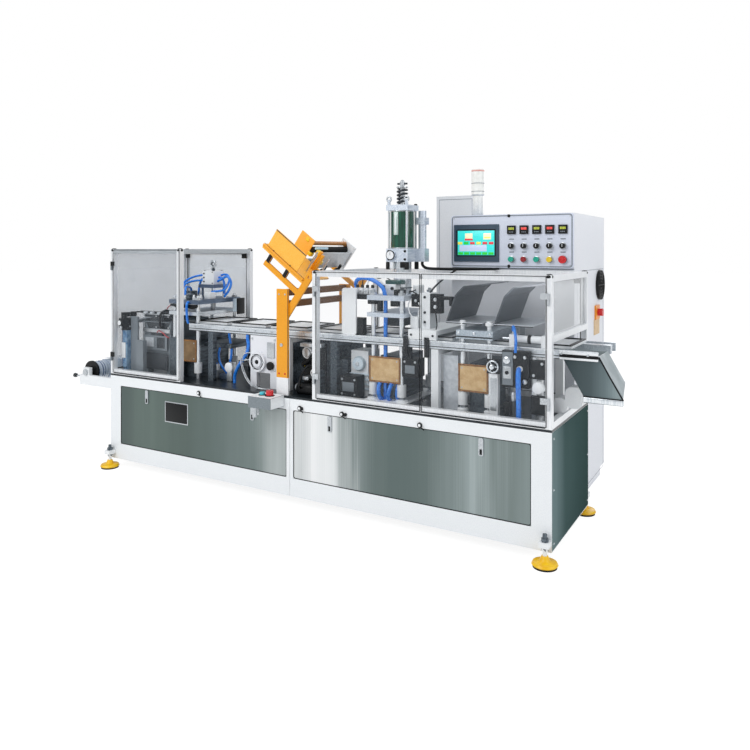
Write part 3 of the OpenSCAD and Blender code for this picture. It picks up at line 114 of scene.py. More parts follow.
def finish(name, low, high, grain=3, rough=(0.4, 0.5), bump=0.0, spread=(0.35, 0.65), **sockets):
    """A surface whose colour and gloss drift between two values with a noise of the given grain in mm (one
    number, or one for each axis); spread holds the noise values of the two colours, and bump is the noise's
    height in mm."""
    mat, out = blank(name)
    where = add(mat, "TexCoord")
    sized = add(mat, "Mapping", {"Vector": where.outputs["Object"],
        "Scale": tuple(1000 / np.broadcast_to(grain, 3))})
    noise = add(mat, "TexNoise", {"Vector": sized.outputs[0], "Scale": 1.0, "Detail": 4.0})
    ramp = add(mat, "ValToRGB", {"Fac": noise.outputs["Fac"]})
    for stop, place, code in zip(ramp.color_ramp.elements, spread, (low, high)):
        stop.position, stop.color = place, linear(code)
    gloss = add(mat, "MapRange", {"Value": noise.outputs["Fac"], "To Min": rough[0], "To Max": rough[1]})
    shader = add(mat, "BsdfPrincipled", {"Base Color": ramp.outputs["Color"], "Roughness": gloss.outputs[0]})
    for key, value in sockets.items():
        shader.inputs[key.replace("_", " ")].default_value = value
    if bump:
        relief = add(mat, "Bump", {"Height": noise.outputs["Fac"], "Distance": bump / 1000, "Strength": 0.6})
        mat.node_tree.links.new(relief.outputs[0], shader.inputs["Normal"])
    mat.node_tree.links.new(shader.outputs[0], out.inputs["Surface"])
    return mat


# powder coat on steel tube: even white with a fine orange peel that softens the highlight
white_coat = finish("white_powder_coat", "#e9ecee", "#f2f4f5", 4, (0.32, 0.42), 0.05)
# the cabinet's textured grey-white powder coat: a little duller and cooler than the frame
cabinet_coat = finish("cabinet_powder_coat", "#e2e4ea", "#ebedf1", 3, (0.42, 0.52), 0.06)
# the rear cabinet's coat: the same texture, greyer
rear_coat = finish("rear_cabinet_powder_coat", "#cfd3d7", "#d8dbdf", 3, (0.42, 0.52), 0.06)


# Brushed sheet: counts to the metre of its brush lines (one each 4 mm, all but unbroken upright) and of the
# soft waves of painted room reflection (one each 110 mm), and how far each pushes the tones along, as a share
# of the run
BRUSH_LINES, LIGHT_WAVES = (250, 250, 0.6), (9, 9, 0.5)
LINE_PUSH, WAVE_PUSH = 0.05, 0.12
BRUSHED_ROUGH = (0.26, 0.42)


def brushed(name, start, end, *tones, along="X", shine=0.35):
    """Brushed stainless sheet with painted reflection: broad upright bands of room light, painted into the
    colour, that run through the tones from start to end (mm along the line, or to the back for Y), over
    upright brush lines drawn 4 mm apart so that they show."""
    offset = SHIFT["XY".index(along)]
    mat, out = blank(name)
    where = add(mat, "TexCoord")
    part = add(mat, "SeparateXYZ", {0: where.outputs["Object"]})
    fine = add(mat, "Mapping", {"Vector": where.outputs["Object"], "Scale": BRUSH_LINES})
    lines = add(mat, "TexNoise", {"Vector": fine.outputs[0], "Scale": 1.0, "Detail": 3.0})
    wide = add(mat, "Mapping", {"Vector": where.outputs["Object"], "Scale": LIGHT_WAVES})
    waves = add(mat, "TexNoise", {"Vector": wide.outputs[0], "Scale": 1.0, "Detail": 2.0})
    # painted reflection: the place along the sheet picks the tone of room light painted there
    place = add(mat, "MapRange", {"Value": part.outputs[along], "From Min": (start + offset) / 1000,
                                  "From Max": (end + offset) / 1000})
    sway = add(mat, "MapRange", {"Value": waves.outputs["Fac"], "To Min": -WAVE_PUSH, "To Max": WAVE_PUSH})
    rub = add(mat, "MapRange", {"Value": lines.outputs["Fac"], "To Min": -LINE_PUSH, "To Max": LINE_PUSH})
    swayed = add(mat, "Math", {0: place.outputs[0], 1: sway.outputs[0]})
    rubbed = add(mat, "Math", {0: swayed.outputs[0], 1: rub.outputs[0]})
    ramp = add(mat, "ValToRGB", {"Fac": rubbed.outputs[0]})
    while len(ramp.color_ramp.elements) < len(tones):
        ramp.color_ramp.elements.new(0.5)
    for k, code in enumerate(tones):
        ramp.color_ramp.elements[k].position = k / (len(tones) - 1)
        ramp.color_ramp.elements[k].color = linear(code)
    gloss = add(mat, "MapRange", {"Value": lines.outputs["Fac"], "To Min": BRUSHED_ROUGH[0],
        "To Max": BRUSHED_ROUGH[1]})
    shader = add(mat, "BsdfPrincipled", {"Base Color": ramp.outputs["Color"], "Roughness": gloss.outputs[0],
                                         "Metallic": shine, "Specular IOR Level": shine})
    mat.node_tree.links.new(shader.outputs[0], out.inputs["Surface"])
    return mat


# Brushed stainless sheets: painted reflection, each with its own run of dark and bright room painted in
# upright bands
left_sheet = brushed("stainless_left_painted_reflection", -1355, -23, "#515e5b", "#61706a", "#56645f", "#606e6b",
    "#707d7b", "#b0b7b6")
right_sheet = brushed("stainless_right_painted_reflection", 23, 1355, "#c6caca", "#eceded", "#dfe2e2", "#7d8887",
    "#63706e", "#5c6a68", "#64716f", "#7f8b8a", "#a0abab", "#75817f", "#828e8d")
# painted light and shade: the end sheet is lighter at its front edge and darker towards the back
end_sheet = brushed("stainless_end_painted_light_and_shade", 0, 680, "#76898a", "#4a5e5d", "#415554", "#394d4a", along="Y",
    shine=0.0)
# painted highlight: the chute wall runs from dark to pale along the line
chute_front = brushed("chute_wall_painted_highlight", 1450, 1735, "#39464a", "#435053", "#4b585b", "#6b7a7d", "#9aa8aa")
# painted reflection: the second hood's sheet lightens along the line
hood_sheet = brushed("hood_sheet_painted_reflection", 1130, 1300, "#585d62", "#63686d", "#8b9096", "#b9bec4", "#c6cad0",
    shine=0.2)
# painted light: the lit sheet inside the chute, a pale copy of the chute steel, with long soft streaks
chute_lit_sheet = finish("chute_sheet_painted_light", "#a3afb1", "#c8d0d2", (60, 90, 400), (0.25, 0.36), 0.0,
    Metallic=0.4)
# blackened table plate: nearly black with a low sheen
table_steel = finish("blackened_table_plate", "#181d21", "#2a3136", 60, (0.22, 0.38), Metallic=0.3)
# moulded black plastic: soft highlight over a fine grain
black_plastic = finish("moulded_black_plastic", "#0a0b0c", "#141618", 1.5, (0.34, 0.46), 0.05,
    Specular_IOR_Level=0.25)
# moulded grey plastic: even mid grey with a dull highlight
grey_plastic = finish("moulded_grey_plastic", "#6d757b", "#7e868c", 2, (0.4, 0.5), 0.04)
# rubber: nearly black, with no sharp highlight
rubber = finish("black_rubber", "#101112", "#1c1d1e", 2, (0.6, 0.75), 0.08, Specular_IOR_Level=0.2)
# moulded yellow foot: glossy and saturated
yellow_plastic = finish("moulded_yellow_nylon", "#f0b808", "#f8c916", 30, (0.28, 0.36))
# anodised profile: pale satin with drawn lines along the bar
anodised = finish("anodised_aluminium_profile", "#e2e5e8", "#f5f6f7", (3, 3, 90), (0.28, 0.38), Metallic=0.35)
grey_anodised = finish("grey_anodised_rail", "#a4aaae", "#c6cbcf", (90, 3, 3), (0.28, 0.38), Metallic=0.35)
# ground, machined and plated metals: fine tool lines across the plate that break up the highlight
machined = finish("machined_aluminium", "#b4bcc4", "#dfe4e8", (2, 40, 6), (0.25, 0.38), Metallic=0.6)
lavender_plate = finish("ground_tool_plate", "#b9c4d2", "#dbe2ea", (4, 60, 8), (0.28, 0.4), Metallic=0.4)
blue_steel = finish("blued_tool_steel", "#4a586c", "#6b7a8e", (4, 60, 8), (0.28, 0.4), Metallic=0.5)
spring_steel = finish("oiled_spring_steel", "#23272b", "#43494f", 4, (0.25, 0.38), Metallic=0.6)
pale_steel = finish("ground_die_plate", "#9dabb6", "#c4ced6", (4, 60, 8), (0.28, 0.4), Metallic=0.4)
tool_steel = finish("oiled_tool_steel", "#3c444b", "#6a747c", (6, 60, 12), (0.3, 0.45), Metallic=0.6)
zinc = finish("zinc_plated_steel", "#a5abb0", "#d5d9dc", 3, (0.25, 0.4), Metallic=0.8)
# hard chrome: a sharp bright highlight along the bar
chrome = finish("hard_chromed_bar", "#c9d0d6", "#f1f4f6", (6, 6, 60), (0.12, 0.22), Metallic=0.7)
# baked coat on the heaters: dark and dull
heater_coat = finish("baked_heater_plate", "#2c3034", "#454a4f", 8, (0.45, 0.6), 0.04, Metallic=0.2)
# enamel on the feeder: smooth orange-yellow gloss; a lighter copy on the tray is painted light, and the brown
# is painted shade on its beams and the own colour of the knobs and thin strips
orange_coat = finish("orange_enamel", "#ea9a08", "#f1a416", 5, (0.3, 0.4), 0.04)
lit_orange = finish("orange_enamel_painted_light", "#fab336", "#fdc152", 5, (0.3, 0.4), 0.04)
brown_and_shaded_coat = finish("brown_enamel_and_painted_shade", "#5e3b12", "#7a4e1b", 6, (0.35, 0.5), 0.04)
# lacquered plates on the tools: warm and even, darker at the border; the darker copy is painted shade on the
# forming press plate
shaded_tan = finish("tan_plate_painted_shade", "#745a3a", "#8a6d49", 30, (0.3, 0.42), Metallic=0.15)
tan_coat = finish("tan_lacquered_plate", "#c6a06c", "#d9ba88", 30, (0.3, 0.42), Metallic=0.15)
tan_edge = finish("tan_plate_border", "#7a4f22", "#99682f", 12, (0.35, 0.45))
# green sight barrel: tinted deep green under a glassy coat
green_barrel = finish("green_tinted_barrel", "#06382a", "#115842", (12, 12, 120), (0.08, 0.16),
    Coat_Weight=0.6)
# painted sheet: a soft broad highlight; the dark grey is painted shade on the cutting hoods
hood_shade_grey = finish("hood_sheet_painted_shade", "#494d51", "#5b6065", 20, (0.3, 0.42), Metallic=0.3)
pale_sheet = finish("pale_grey_sheet", "#b9bfc5", "#ced3d8", 20, (0.3, 0.42), Metallic=0.2)
# control panel: silver paint with a faint sparkle, a grey border and a dark blue moulded bezel
panel_paint = finish("silver_panel_paint", "#d0d6e5", "#dde2ee", 3, (0.36, 0.46), Metallic=0.15)
border_paint = finish("grey_panel_border", "#737b85", "#89919a", 3, (0.36, 0.46))
bezel_plastic = finish("dark_blue_bezel", "#2a3f52", "#354c60", 3, (0.3, 0.42))
# blue mouldings and polyurethane hose: a wet gloss over a deep colour
blue_bowl = finish("blue_moulded_bowl", "#46719a", "#86a9c6", (20, 20, 30), (0.15, 0.25), Coat_Weight=0.4)
navy = finish("navy_moulded_edge", "#1d3a66", "#2b4d80", 10, (0.2, 0.3))
blue_hose = finish("blue_polyurethane_hose", "#0a6ad4", "#2a8cf0", 12, (0.18, 0.28), Coat_Weight=0.3)
# grey enamel on the button box: smooth, with a soft highlight
box_coat = finish("grey_box_enamel", "#727b80", "#848d92", 3, (0.36, 0.46), 0.04)
# button caps and switch plate: clear plastic colours with a small sharp highlight
red_cap = finish("red_button_cap", "#c8161d", "#dc2a2e", 6, (0.22, 0.32))
dark_red_cap = finish("dark_red_button_cap", "#8c1a22", "#a8262d", 6, (0.22, 0.32))
teal_cap = finish("teal_button_cap", "#0e9c84", "#28b79c", 6, (0.22, 0.32))
yellow_cap = finish("yellow_button_cap", "#e9c21a", "#f5d63a", 6, (0.22, 0.32))
orange_plate = finish("orange_switch_plate", "#e58a1c", "#f39c2d", 6, (0.3, 0.4))
# wound film: glassy, with pale and blue bands across the roll
film = finish("wound_blister_film", "#8796ac", "#d5dee8", (400, 5, 400), (0.12, 0.2), Coat_Weight=0.5)
# small tinted, painted and opal details: smooth, each with the gloss of its plastic or enamel
red_wire = finish("red_wire_sleeve", "#b3262f", "#c93a42", 6, (0.3, 0.4))
teal_dark = finish("dark_teal_enamel", "#173f3b", "#24544e", 5, (0.3, 0.42))
teal_paint = finish("teal_enamel_bar", "#2c8496", "#3a9aab", 5, (0.28, 0.38))
pale_blue = finish("pale_blue_casting", "#c3d6e2", "#dde9f0", 8, (0.3, 0.42), 0.04)
sight_glass = finish("clear_sight_tube", "#a9c0b8", "#cfdcd7", (6, 6, 60), (0.1, 0.18), Coat_Weight=0.5)
clear_blue = finish("pale_blue_nylon_rod", "#a9d3ea", "#c8e6f4", 10, (0.15, 0.25), Coat_Weight=0.4)
brown_orange = finish("brown_orange_bar", "#a5651a", "#bd7a24", (6, 6, 40), (0.3, 0.4))
cyan_cap = finish("cyan_button_cap", "#2fc4d6", "#55d6e4", 6, (0.22, 0.32))
tray_white = finish("white_tray_insert", "#e6e9eb", "#f3f5f6", 20, (0.3, 0.4))
lamp_cover = finish("opal_lamp_cover", "#f1f1ec", "#fbfbf7", 20, (0.2, 0.3))
lamp_red = finish("red_lamp_cover", "#e0a39a", "#edb8ae", 20, (0.2, 0.3))

# clear acrylic doors are all but invisible; the fixed panes behind are older and a little grey
acrylic = finish("clear_acrylic_door", "#9098a0", "#a2aab2", 60, (0.04, 0.09), Alpha=0.045)
pane_acrylic = finish("greyed_acrylic_pane", "#a6b1bc", "#b6c0ca", 90, (0.05, 0.1), Alpha=0.4)
clear_pane = finish("clear_acrylic_pane", "#aeb5bb", "#bac1c7", 90, (0.05, 0.1), Alpha=0.07)
# painted reflection: the right end pane is tinted near white for the bright room it mirrors
glare_pane = finish("acrylic_pane_painted_reflection", "#eceff1", "#f6f8f9", 90, (0.08, 0.14), Alpha=0.3)
clear_film = finish("clear_blister_film", "#cfdbe4", "#dfe9f0", 40, (0.05, 0.1), Alpha=0.45)


def lit(name, low, high, strength=0.4):
    """A lit display colour behind glossy glass, with its pixels drawn 2 mm coarse so that they show."""
    return finish(name, low, high, 2, (0.15, 0.25), Emission_Color=linear(high), Emission_Strength=strength)


screen_cyan = lit("screen_cyan", "#2fd6d4", "#3fe0d8")
screen_cream = lit("screen_cream", "#f2ecba", "#f6f1cc")
screen_green = lit("screen_green", "#23c032", "#35cf44")
screen_yellow = lit("screen_yellow", "#e8dc4a", "#f0e65c")
screen_red = lit("screen_red", "#d8323e", "#e2424a")
screen_lavender = lit("screen_lavender", "#b4c4e2", "#c2d0ea")
digit_red = lit("red_digits", "#e03a34", "#ee5048", 0.55)
digit_green = lit("green_digits", "#a4ae30", "#b6c040", 0.35)


# share of the floor that the eye sees as plain light, and its strength: together with the paint, about white
LIT_SHARE, LIT_STRENGTH = 0.74, 1.2


def white_stage(name, code):
    """Pale stage that is white to the eye and in reflections, and keeps a soft shadow."""
    mat, out = blank(name)
    path = add(mat, "LightPath")
    seen = add(mat, "Math", {0: path.outputs["Is Camera Ray"], 1: path.outputs["Is Glossy Ray"]},
        operation="MAXIMUM")
    seen = add(mat, "Math", {0: seen.outputs[0], 1: path.outputs["Is Transmission Ray"]}, operation="MAXIMUM")
    share = add(mat, "Math", {0: seen.outputs[0], 1: LIT_SHARE}, operation="MULTIPLY")
    paint = add(mat, "BsdfDiffuse", {"Color": linear(code)})
    light = add(mat, "Emission", {"Color": (1, 1, 1, 1), "Strength": LIT_STRENGTH})
    both = add(mat, "MixShader", {0: share.outputs[0], 1: paint.outputs[0], 2: light.outputs[0]})
    mat.node_tree.links.new(both.outputs[0], out.inputs["Surface"])
    return mat


world = bpy.data.worlds.new("studio")
scene.world = world
world.use_nodes = True
world.node_tree.nodes.clear()
sky = add(world, "Background", {"Color": (0.93, 0.96, 1.0, 1.0), "Strength": 0.55})
card = add(world, "Background", {"Color": (1, 1, 1, 1), "Strength": 1.0})
ray = add(world, "LightPath")
eye = add(world, "Math", {0: ray.outputs["Is Camera Ray"], 1: ray.outputs["Is Transmission Ray"]},
    operation="MAXIMUM")
both = add(world, "MixShader", {0: eye.outputs[0], 1: sky.outputs[0], 2: card.outputs[0]})
add(world, "OutputWorld", {"Surface": both.outputs[0]})


# Surfaces

def swept(rings):
    """A profile carried along a path: rings is (m, n, 3), and each end is closed by its own ring."""
    m, n = rings.shape[:2]
    i, j = np.meshgrid(np.arange(m - 1), np.arange(n), indexing="ij")
    a, b = i * n + j, i * n + (j + 1) % n
    walls = np.stack([a, b, b + n, a + n], -1).reshape(-1, 4).tolist()
    return rings.reshape(-1, 3), walls + [list(range(n))[::-1], [(m - 1) * n + k for k in range(n)]]


def roll_axes(p, axis):
    """Local (u, v, w) with w along the axis, turned into (x, y, z) by a cyclic shift."""
    return np.roll(p, axis - 2, axis=-1)


def block(low, high, r=2.0, axis=2, k=3):
    """Rounded block: a rectangle with corners of radius r, run along an axis and drawn in by r at both ends
    along a quarter circle."""
    low, high = (np.roll(np.array(v, float), 2 - axis)
        for v in (np.minimum(low, high), np.maximum(low, high)))
    r = min(r, 0.49 * (high - low).min())
    turn = np.linspace(0, math.pi / 2, k + 1)
    corner = np.concatenate([turn + q * math.pi / 2 for q in range(4)])
    side = np.repeat(np.array([[1, 1], [-1, 1], [-1, -1], [1, -1]]), k + 1, axis=0)
    half, mid = (high - low)[:2] / 2 - r, (high + low)[:2] / 2
    inset = np.concatenate([turn, turn[::-1]])
    reach = r * np.sin(inset)[:, None]
    level = np.concatenate([low[2] + r * (1 - np.cos(turn)), high[2] - r * (1 - np.cos(turn[::-1]))])
    rings = np.empty((len(inset), len(corner), 3))
    rings[..., 0] = mid[0] + side[:, 0] * half[0] + reach * np.cos(corner)
    rings[..., 1] = mid[1] + side[:, 1] * half[1] + reach * np.sin(corner)
    rings[..., 2] = level[:, None]
    return swept(roll_axes(rings, axis))


def turned(profile, base, axis=2, sides=28):
    """Turned piece: radius and height pairs swung once round an axis through base."""
    profile = np.array(profile, float)
    turn = np.arange(sides) * 2 * math.pi / sides
    rings = np.empty((len(profile), sides, 3))
    rings[..., 0] = profile[:, :1] * np.cos(turn)
    rings[..., 1] = profile[:, :1] * np.sin(turn)
    rings[..., 2] = profile[:, 1:]
    return swept(roll_axes(rings, axis) + np.array(base, float))


def stud(x, y, z, r, h):
    """Round head on a front face, drawn in towards its outer end."""
    return turned([(0.55 * r, -h), (0.9 * r, -0.8 * h), (r, -0.5 * h), (r, 0)], (x, y, z), 1, 16)


def eased(points, steps=8):
    """Catmull-Rom curve through the points, with a fixed number of steps between each pair."""
    p = np.array(points, float)
    p = np.concatenate([2 * p[:1] - p[1:2], p, 2 * p[-1:] - p[-2:-1]])
    t = (np.arange(steps) / steps)[None, :, None]
    a, b, c, d = (p[k:len(p) - 3 + k][:, None] for k in range(4))
    curve = 0.5 * (2 * b + (c - a) * t + (2 * a - 5 * b + 4 * c - d) * t**2 + (3 * b - a - 3 * c + d) * t**3)
    return np.concatenate([curve.reshape(-1, 3), p[-2:-1]])


def tube(points, r, side=(0, 1, 0), sides=14):
    """Round tube: a circle carried along a path and kept square to it; side is a direction that the path
    never takes."""
    p = np.array(points, float)
    d = np.gradient(p, axis=0)
    d /= np.linalg.norm(d, axis=1, keepdims=True)
    a = np.cross(np.array(side, float), d)
    a /= np.linalg.norm(a, axis=1, keepdims=True)
    b = np.cross(d, a)
    turn = np.arange(sides) * 2 * math.pi / sides
    rings = p[:, None] + r * (np.cos(turn)[:, None] * a[:, None] + np.sin(turn)[:, None] * b[:, None])
    return swept(rings)


def hoop(centre, r, wire, axis=2, sides=36, n=10):
    """Closed ring: a small circle of radius wire and n sides carried round a circle of radius r."""
    u, v = np.meshgrid(np.arange(sides) * 2 * math.pi / sides, np.arange(n) * 2 * math.pi / n, indexing="ij")
    reach = r + wire * np.cos(v)
    rings = np.stack([reach * np.cos(u), reach * np.sin(u), wire * np.sin(v)], -1)
    i, j = np.meshgrid(np.arange(sides), np.arange(n), indexing="ij")
    after, beside = (i + 1) % sides * n, (j + 1) % n
    faces = np.stack([i * n + j, after + j, after + beside, i * n + beside], -1).reshape(-1, 4).tolist()
    return roll_axes(rings, axis).reshape(-1, 3) + np.array(centre, float), faces


def hose(points, r, side=(0, 1, 0)):
    """Hose or wire: a round tube along the eased curve through the points."""
    return tube(eased(points), r, side)


# faces that meet at more than this angle show a sharp edge
SHARP = math.radians(40)


def fit(name, parts, base, body="machine", stands_for=()):
    """Joins parts into one piece that rides on a body; a part is (points, faces), with its material after
    them unless it has the base material."""
    points, faces, numbers, materials, start = [], [], [], [base], 0
    for part in parts:
        mat = part[2] if len(part) > 2 else base
        if mat not in materials:
            materials.append(mat)
        points.append(part[0])
        faces += [[start + k for k in f] for f in part[1]]
        numbers += [materials.index(mat)] * len(part[1])
        start += len(part[0])
    mesh = bpy.data.meshes.new(name)
    mesh.from_pydata(((np.concatenate(points) + SHIFT) / 1000).tolist(), [], faces)
    for mat in materials:
        mesh.materials.append(mat)
    mesh.polygons.foreach_set("material_index", numbers)
    mesh.polygons.foreach_set("use_smooth", [True] * len(faces))
    mesh.set_sharp_from_angle(angle=SHARP)
    mesh.update()
    piece = bpy.data.objects.new(name, mesh)
    scene.collection.objects.link(piece)
    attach(piece, body)
    if stands_for:
        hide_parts(*stands_for)


def kind(parts, mat):
    """The same parts with a material of their own."""
    return [(*part, mat) for part in parts]


def paint(node, base, *areas):
    """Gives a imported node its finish; each area is (material, low, high), for the faces whose middles lie in
    that box."""
    mesh = nodes[node].data
    mesh.materials.clear()
    middle = np.empty(len(mesh.polygons) * 3)
    mesh.polygons.foreach_get("center", middle)
    middle = middle.reshape(-1, 3) * 1000 - SHIFT
    number = np.zeros(len(mesh.polygons), int)
    mesh.materials.append(base)
    for k, (mat, low, high) in enumerate(areas):
        mesh.materials.append(mat)
        number[((middle >= np.array(low)) & (middle <= np.array(high))).all(1)] = k + 1
    mesh.polygons.foreach_set("material_index", number)


# Shared places, mm

TABLE = 603  # top of the table plates
FORMING_X, SEALING_X, CUTTING_X = (-1025, -825), (445, 615), (960, 1100)  # guide columns of each press
COLUMN_Y = (150, 490)  # its front and back columns
FORMING_TOP, SEALING_TOP = 1092, 1166  # tops of the crossheads
FORMING_AXIS = (-895, 360)  # air cylinder of the forming press
BOOSTER = (530, 320)  # booster's axis
BOOSTER_TOP = 1652  # its top plate
UNIT_X = -1394  # middle of the air service unit
COVER_X, COVER_Z = -315, 753  # middle of the drive's round cover
LAMP = (782, 801)  # signal lamp's axis
CONTROL_X = (1030, 1102, 1174, 1246, 1318)  # columns of displays and buttons on the panel
CORNERS = ((-1450, 1412), (-858, 1412), (150, 1294), (1420, 1294))  # guard posts: left edge and top


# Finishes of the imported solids

for node, mat in {
    "base_posts": white_coat, "base_rails": white_coat, "table_plates": table_steel,
    "foot_pads": yellow_plastic, "foot_soles": rubber, "film_arms": white_coat, "guard_posts": anodised,
    "left_guard_door": acrylic, "middle_guard_door": acrylic, "right_guard_door": acrylic,
    "left_door_leaves": black_plastic, "middle_door_leaves": zinc, "right_door_leaves": zinc,
    "conveyor_rails": machined, "carrier_trays": tray_white, "film_shafts": zinc, "film_web": clear_film,
    "guide_columns": chrome, "column_collars": white_coat, "tool_blocks": tool_steel,
    "forming_head": machined, "booster_rods": chrome, "feeder_posts": orange_coat,
    # painted light on the feeder tray, painted shade on its beams
    "feeder_struts": orange_coat, "feeder_tray": lit_orange, "feeder_beams": brown_and_shaded_coat,
    "handwheel": chrome, "chute_slides": chute_lit_sheet, "touch_screen": bezel_plastic,
    "booster_blocks": lavender_plate,
}.items():
    paint(node, mat)

# painted reflection on the front and back panels, painted light and shade on the end panels
paint("base_panels", end_sheet, (left_sheet, (-1360, -5, 100), (-20, 20, 560)),
      (right_sheet, (20, -5, 100), (1360, 20, 560)), (left_sheet, (-1360, 600, 100), (1360, 700, 560)))
paint("guard_hinges", grey_plastic, (zinc, (100, -60, 600), (1500, 60, 1400)))
# painted highlight on the chute wall, painted light on its inner sheet
paint("chute_sides", chute_front, (chute_lit_sheet, (1440, 320, 700), (1740, 340, 930)))
paint("panel_latches", zinc, (black_plastic, (60, -20, 530), (380, 10, 560)))
paint("foot_studs", tool_steel, (white_coat, (-2000, -200, 0), (2000, 1000, 80)))
# painted shade on the forming press plate
paint("tool_plates", tan_coat, (shaded_tan, (-1050, 130, 700), (-800, 140, 850)))
paint("guard_rails", anodised, (grey_anodised, (-1460, -5, 1380), (-820, 700, 1416)))
# painted reflection on the right end pane
paint("guard_panes", pane_acrylic, (clear_pane, (100, -10, 600), (1500, 700, 1400)),
      (glare_pane, (1430, -10, 600), (1440, 700, 1400)))
paint("feeder_pickup", pale_sheet, (tray_white, (-300, 634, 1100), (300, 700, 1500)),
      (brown_orange, (-66, 200, 1431), (-34, 700, 1463)), (rubber, (-68, 200, 1387), (-26, 700, 1430)))
paint("conveyor_legs", white_coat, (grey_plastic, (-1380, 50, 600), (-1210, 550, 980)),
      (tool_steel, (-715, 110, 600), (-665, 530, 910)), (tool_steel, (185, 110, 600), (235, 530, 910)))
paint("film_heaters", heater_coat, (grey_plastic, (-1310, 130, TABLE), (-1050, 510, 868)))
paint("crossheads", lavender_plate, (blue_steel, (-1060, 120, 1060), (-790, 520, 1100)),
      (pale_steel, (930, 120, 960), (1130, 520, 1020)))
paint("sealing_head", lavender_plate, (heater_coat, (400, 100, 990), (660, 530, 1050)))
paint("valve_blocks", black_plastic, (white_coat, (645, 178, 995), (700, 265, 1060)))
paint("drive_motor", cabinet_coat, (black_plastic, (-380, 151, TABLE), (-180, 310, 900)))
paint("air_cylinders", white_coat, (tool_steel, (-930, 300, 1274), (-860, 420, 1345)),
      (blue_steel, (-970, 285, FORMING_TOP), (-820, 435, 1184)),
      (chrome, (470, 260, SEALING_TOP), (590, 380, 1345)))
paint("station_covers", white_coat, (pale_sheet, (845, 155, 600), (935, 175, 880)))
paint("air_service_unit", blue_bowl, (black_plastic, (-1420, 20, 895), (-1370, 170, 1000)))
paint("film_roll", film, (black_plastic, (-1800, 60, 500), (-1640, 72, 660)),
      (black_plastic, (-1800, 568, 500), (-1640, 580, 660)))
# painted shade on the hoods' dark grey, painted reflection on the second hood's bands
paint("cutting_hoods", hood_shade_grey, (hood_sheet, (1129, 130, 1040), (1330, 530, 1250)),
      (pale_sheet, (870, 130, 1040), (1330, 530, 1052)), (pale_sheet, (870, 130, 900), (1330, 530, 1040)))
paint("control_cabinet", cabinet_coat, (rear_coat, (420, 690, 0), (660, 1440, 1760)))
paint("control_panel", panel_paint)
paint("side_fittings", black_plastic, (orange_plate, (1370, 1165, 988), (1394, 1275, 1080)),
      (red_cap, (1394, 1165, 988), (1420, 1275, 1080)), (tan_coat, (1370, 1150, 895), (1380, 1290, 990)))
paint("signal_lamp", lamp_cover, (lamp_red, (740, 760, 1860), (830, 840, 1900)),
      (pale_sheet, (740, 760, 1600), (830, 840, 1680)))
paint("button_box", box_coat, (red_cap, (-120, -90, 608), (-60, -30, 650)),
      (cyan_cap, (-170, -90, 608), (-121, -30, 650)), (white_coat, (-195, -121, 606), (-38, 1, 608)),
      (zinc, (-195, -121, 480), (-38, 1, 544)))
paint("panel_controls", black_plastic, (teal_cap, (1010, 650, 1335), (1050, 670, 1375)),
      (dark_red_cap, (1080, 650, 1335), (1120, 670, 1375)), (teal_cap, (1155, 650, 1335), (1195, 670, 1375)),
      (yellow_cap, (1226, 650, 1335), (1266, 670, 1375)), (red_cap, (1290, 650, 1330), (1345, 670, 1380)))

# Guards: door gaskets, pane seals, corner caps, profile slots, corner brackets


def edging(x0, x1, z0, z1, y, wide=6, deep=2.5):
    """Four strips along the edges of an upright rectangle."""
    return [block((x0, y, z0), (x0 + wide, y + deep, z1), 0.5),
            block((x1 - wide, y, z0), (x1, y + deep, z1), 0.5),
            block((x0 + wide, y, z0), (x1 - wide, y + deep, z0 + wide), 0.5, 0),
            block((x0 + wide, y, z1 - wide), (x1 - wide, y + deep, z1), 0.5, 0)]


for door, x0, x1, top in (("left_door", -1426, -832, 1408), ("middle_door", 174, 797, 1290),
        ("right_door", 803, 1426, 1290)):
    fit(door + "_gasket", edging(x0, x1, 611, top, -5, 3), rubber, door)
seals = [
    part
    for x0, x1, top in ((-1420, -858, 1382), (180, 1420, 1264))
    for part in edging(x0, x1, 633, top, 650, 5, 2)]
fit("pane_seals", seals, rubber)
caps = [
    block((x - 2, y - 2, top - 20), (x + 32, y + 32, top + 5), 14)
    for x, top in CORNERS for y in (0, 650)]
fit("profile_caps", caps, black_plastic)
slots = [
    block((-1450.8, 30, 611), (-1450, 650, 625), 0.3, 1), block((-1420, 30, 633), (-1416, 650, 640), 0.3, 1)]
slots += [
    block((x0, -0.6, z), (x1, 0, z + 4), 0.2, 0)
    for x0, x1, z in ((-1420, -858, 606), (180, 1420, 606))]
fit("profile_slots", slots, rubber)
gussets = []
for x, top, side in ((-858, 1382, -1), (-1420, 1382, 1), (180, 1264, 1), (1420, 1264, -1)):
    gussets += [
        block((x, 634, top - 34), (x + 34 * side, 650, top), 4),
        turned([(5, -4), (7, -2), (7, 0)], (x + 17 * side, 634, top - 17), 1, 12)]
fit("corner_brackets", gussets, black_plastic)

# Conveyor: dark rims on the carrier trays; bright edge, two grooves and bolts on the front rail

rims = []
for x in range(-870, 1231, 300):
    for y in (175, 449):
        rims.append(block((x, y, 957), (x + 262, y + 16, 964), 3, 0))
    for u in (x, x + 246):
        rims.append(block((u, 188, 957), (u + 16, 452, 964), 3, 1))
fit("tray_rims", rims, black_plastic)
trim = [
    block((-870, 116, 941), (1624, 119, 949), 1, 0),
    (*block((-870, 117.4, 917), (1624, 118.2, 921), 0.3, 0), black_plastic),
    (*block((-870, 117.4, 905), (1624, 118.2, 908), 0.3, 0), black_plastic)]
trim += [(*stud(x, 118, 931, 6, 4), zinc) for x in range(-820, 1600, 120)]
fit("rail_trim", trim, chrome)

# Film end: service unit, heater fittings, lever knob, bands round the film roll

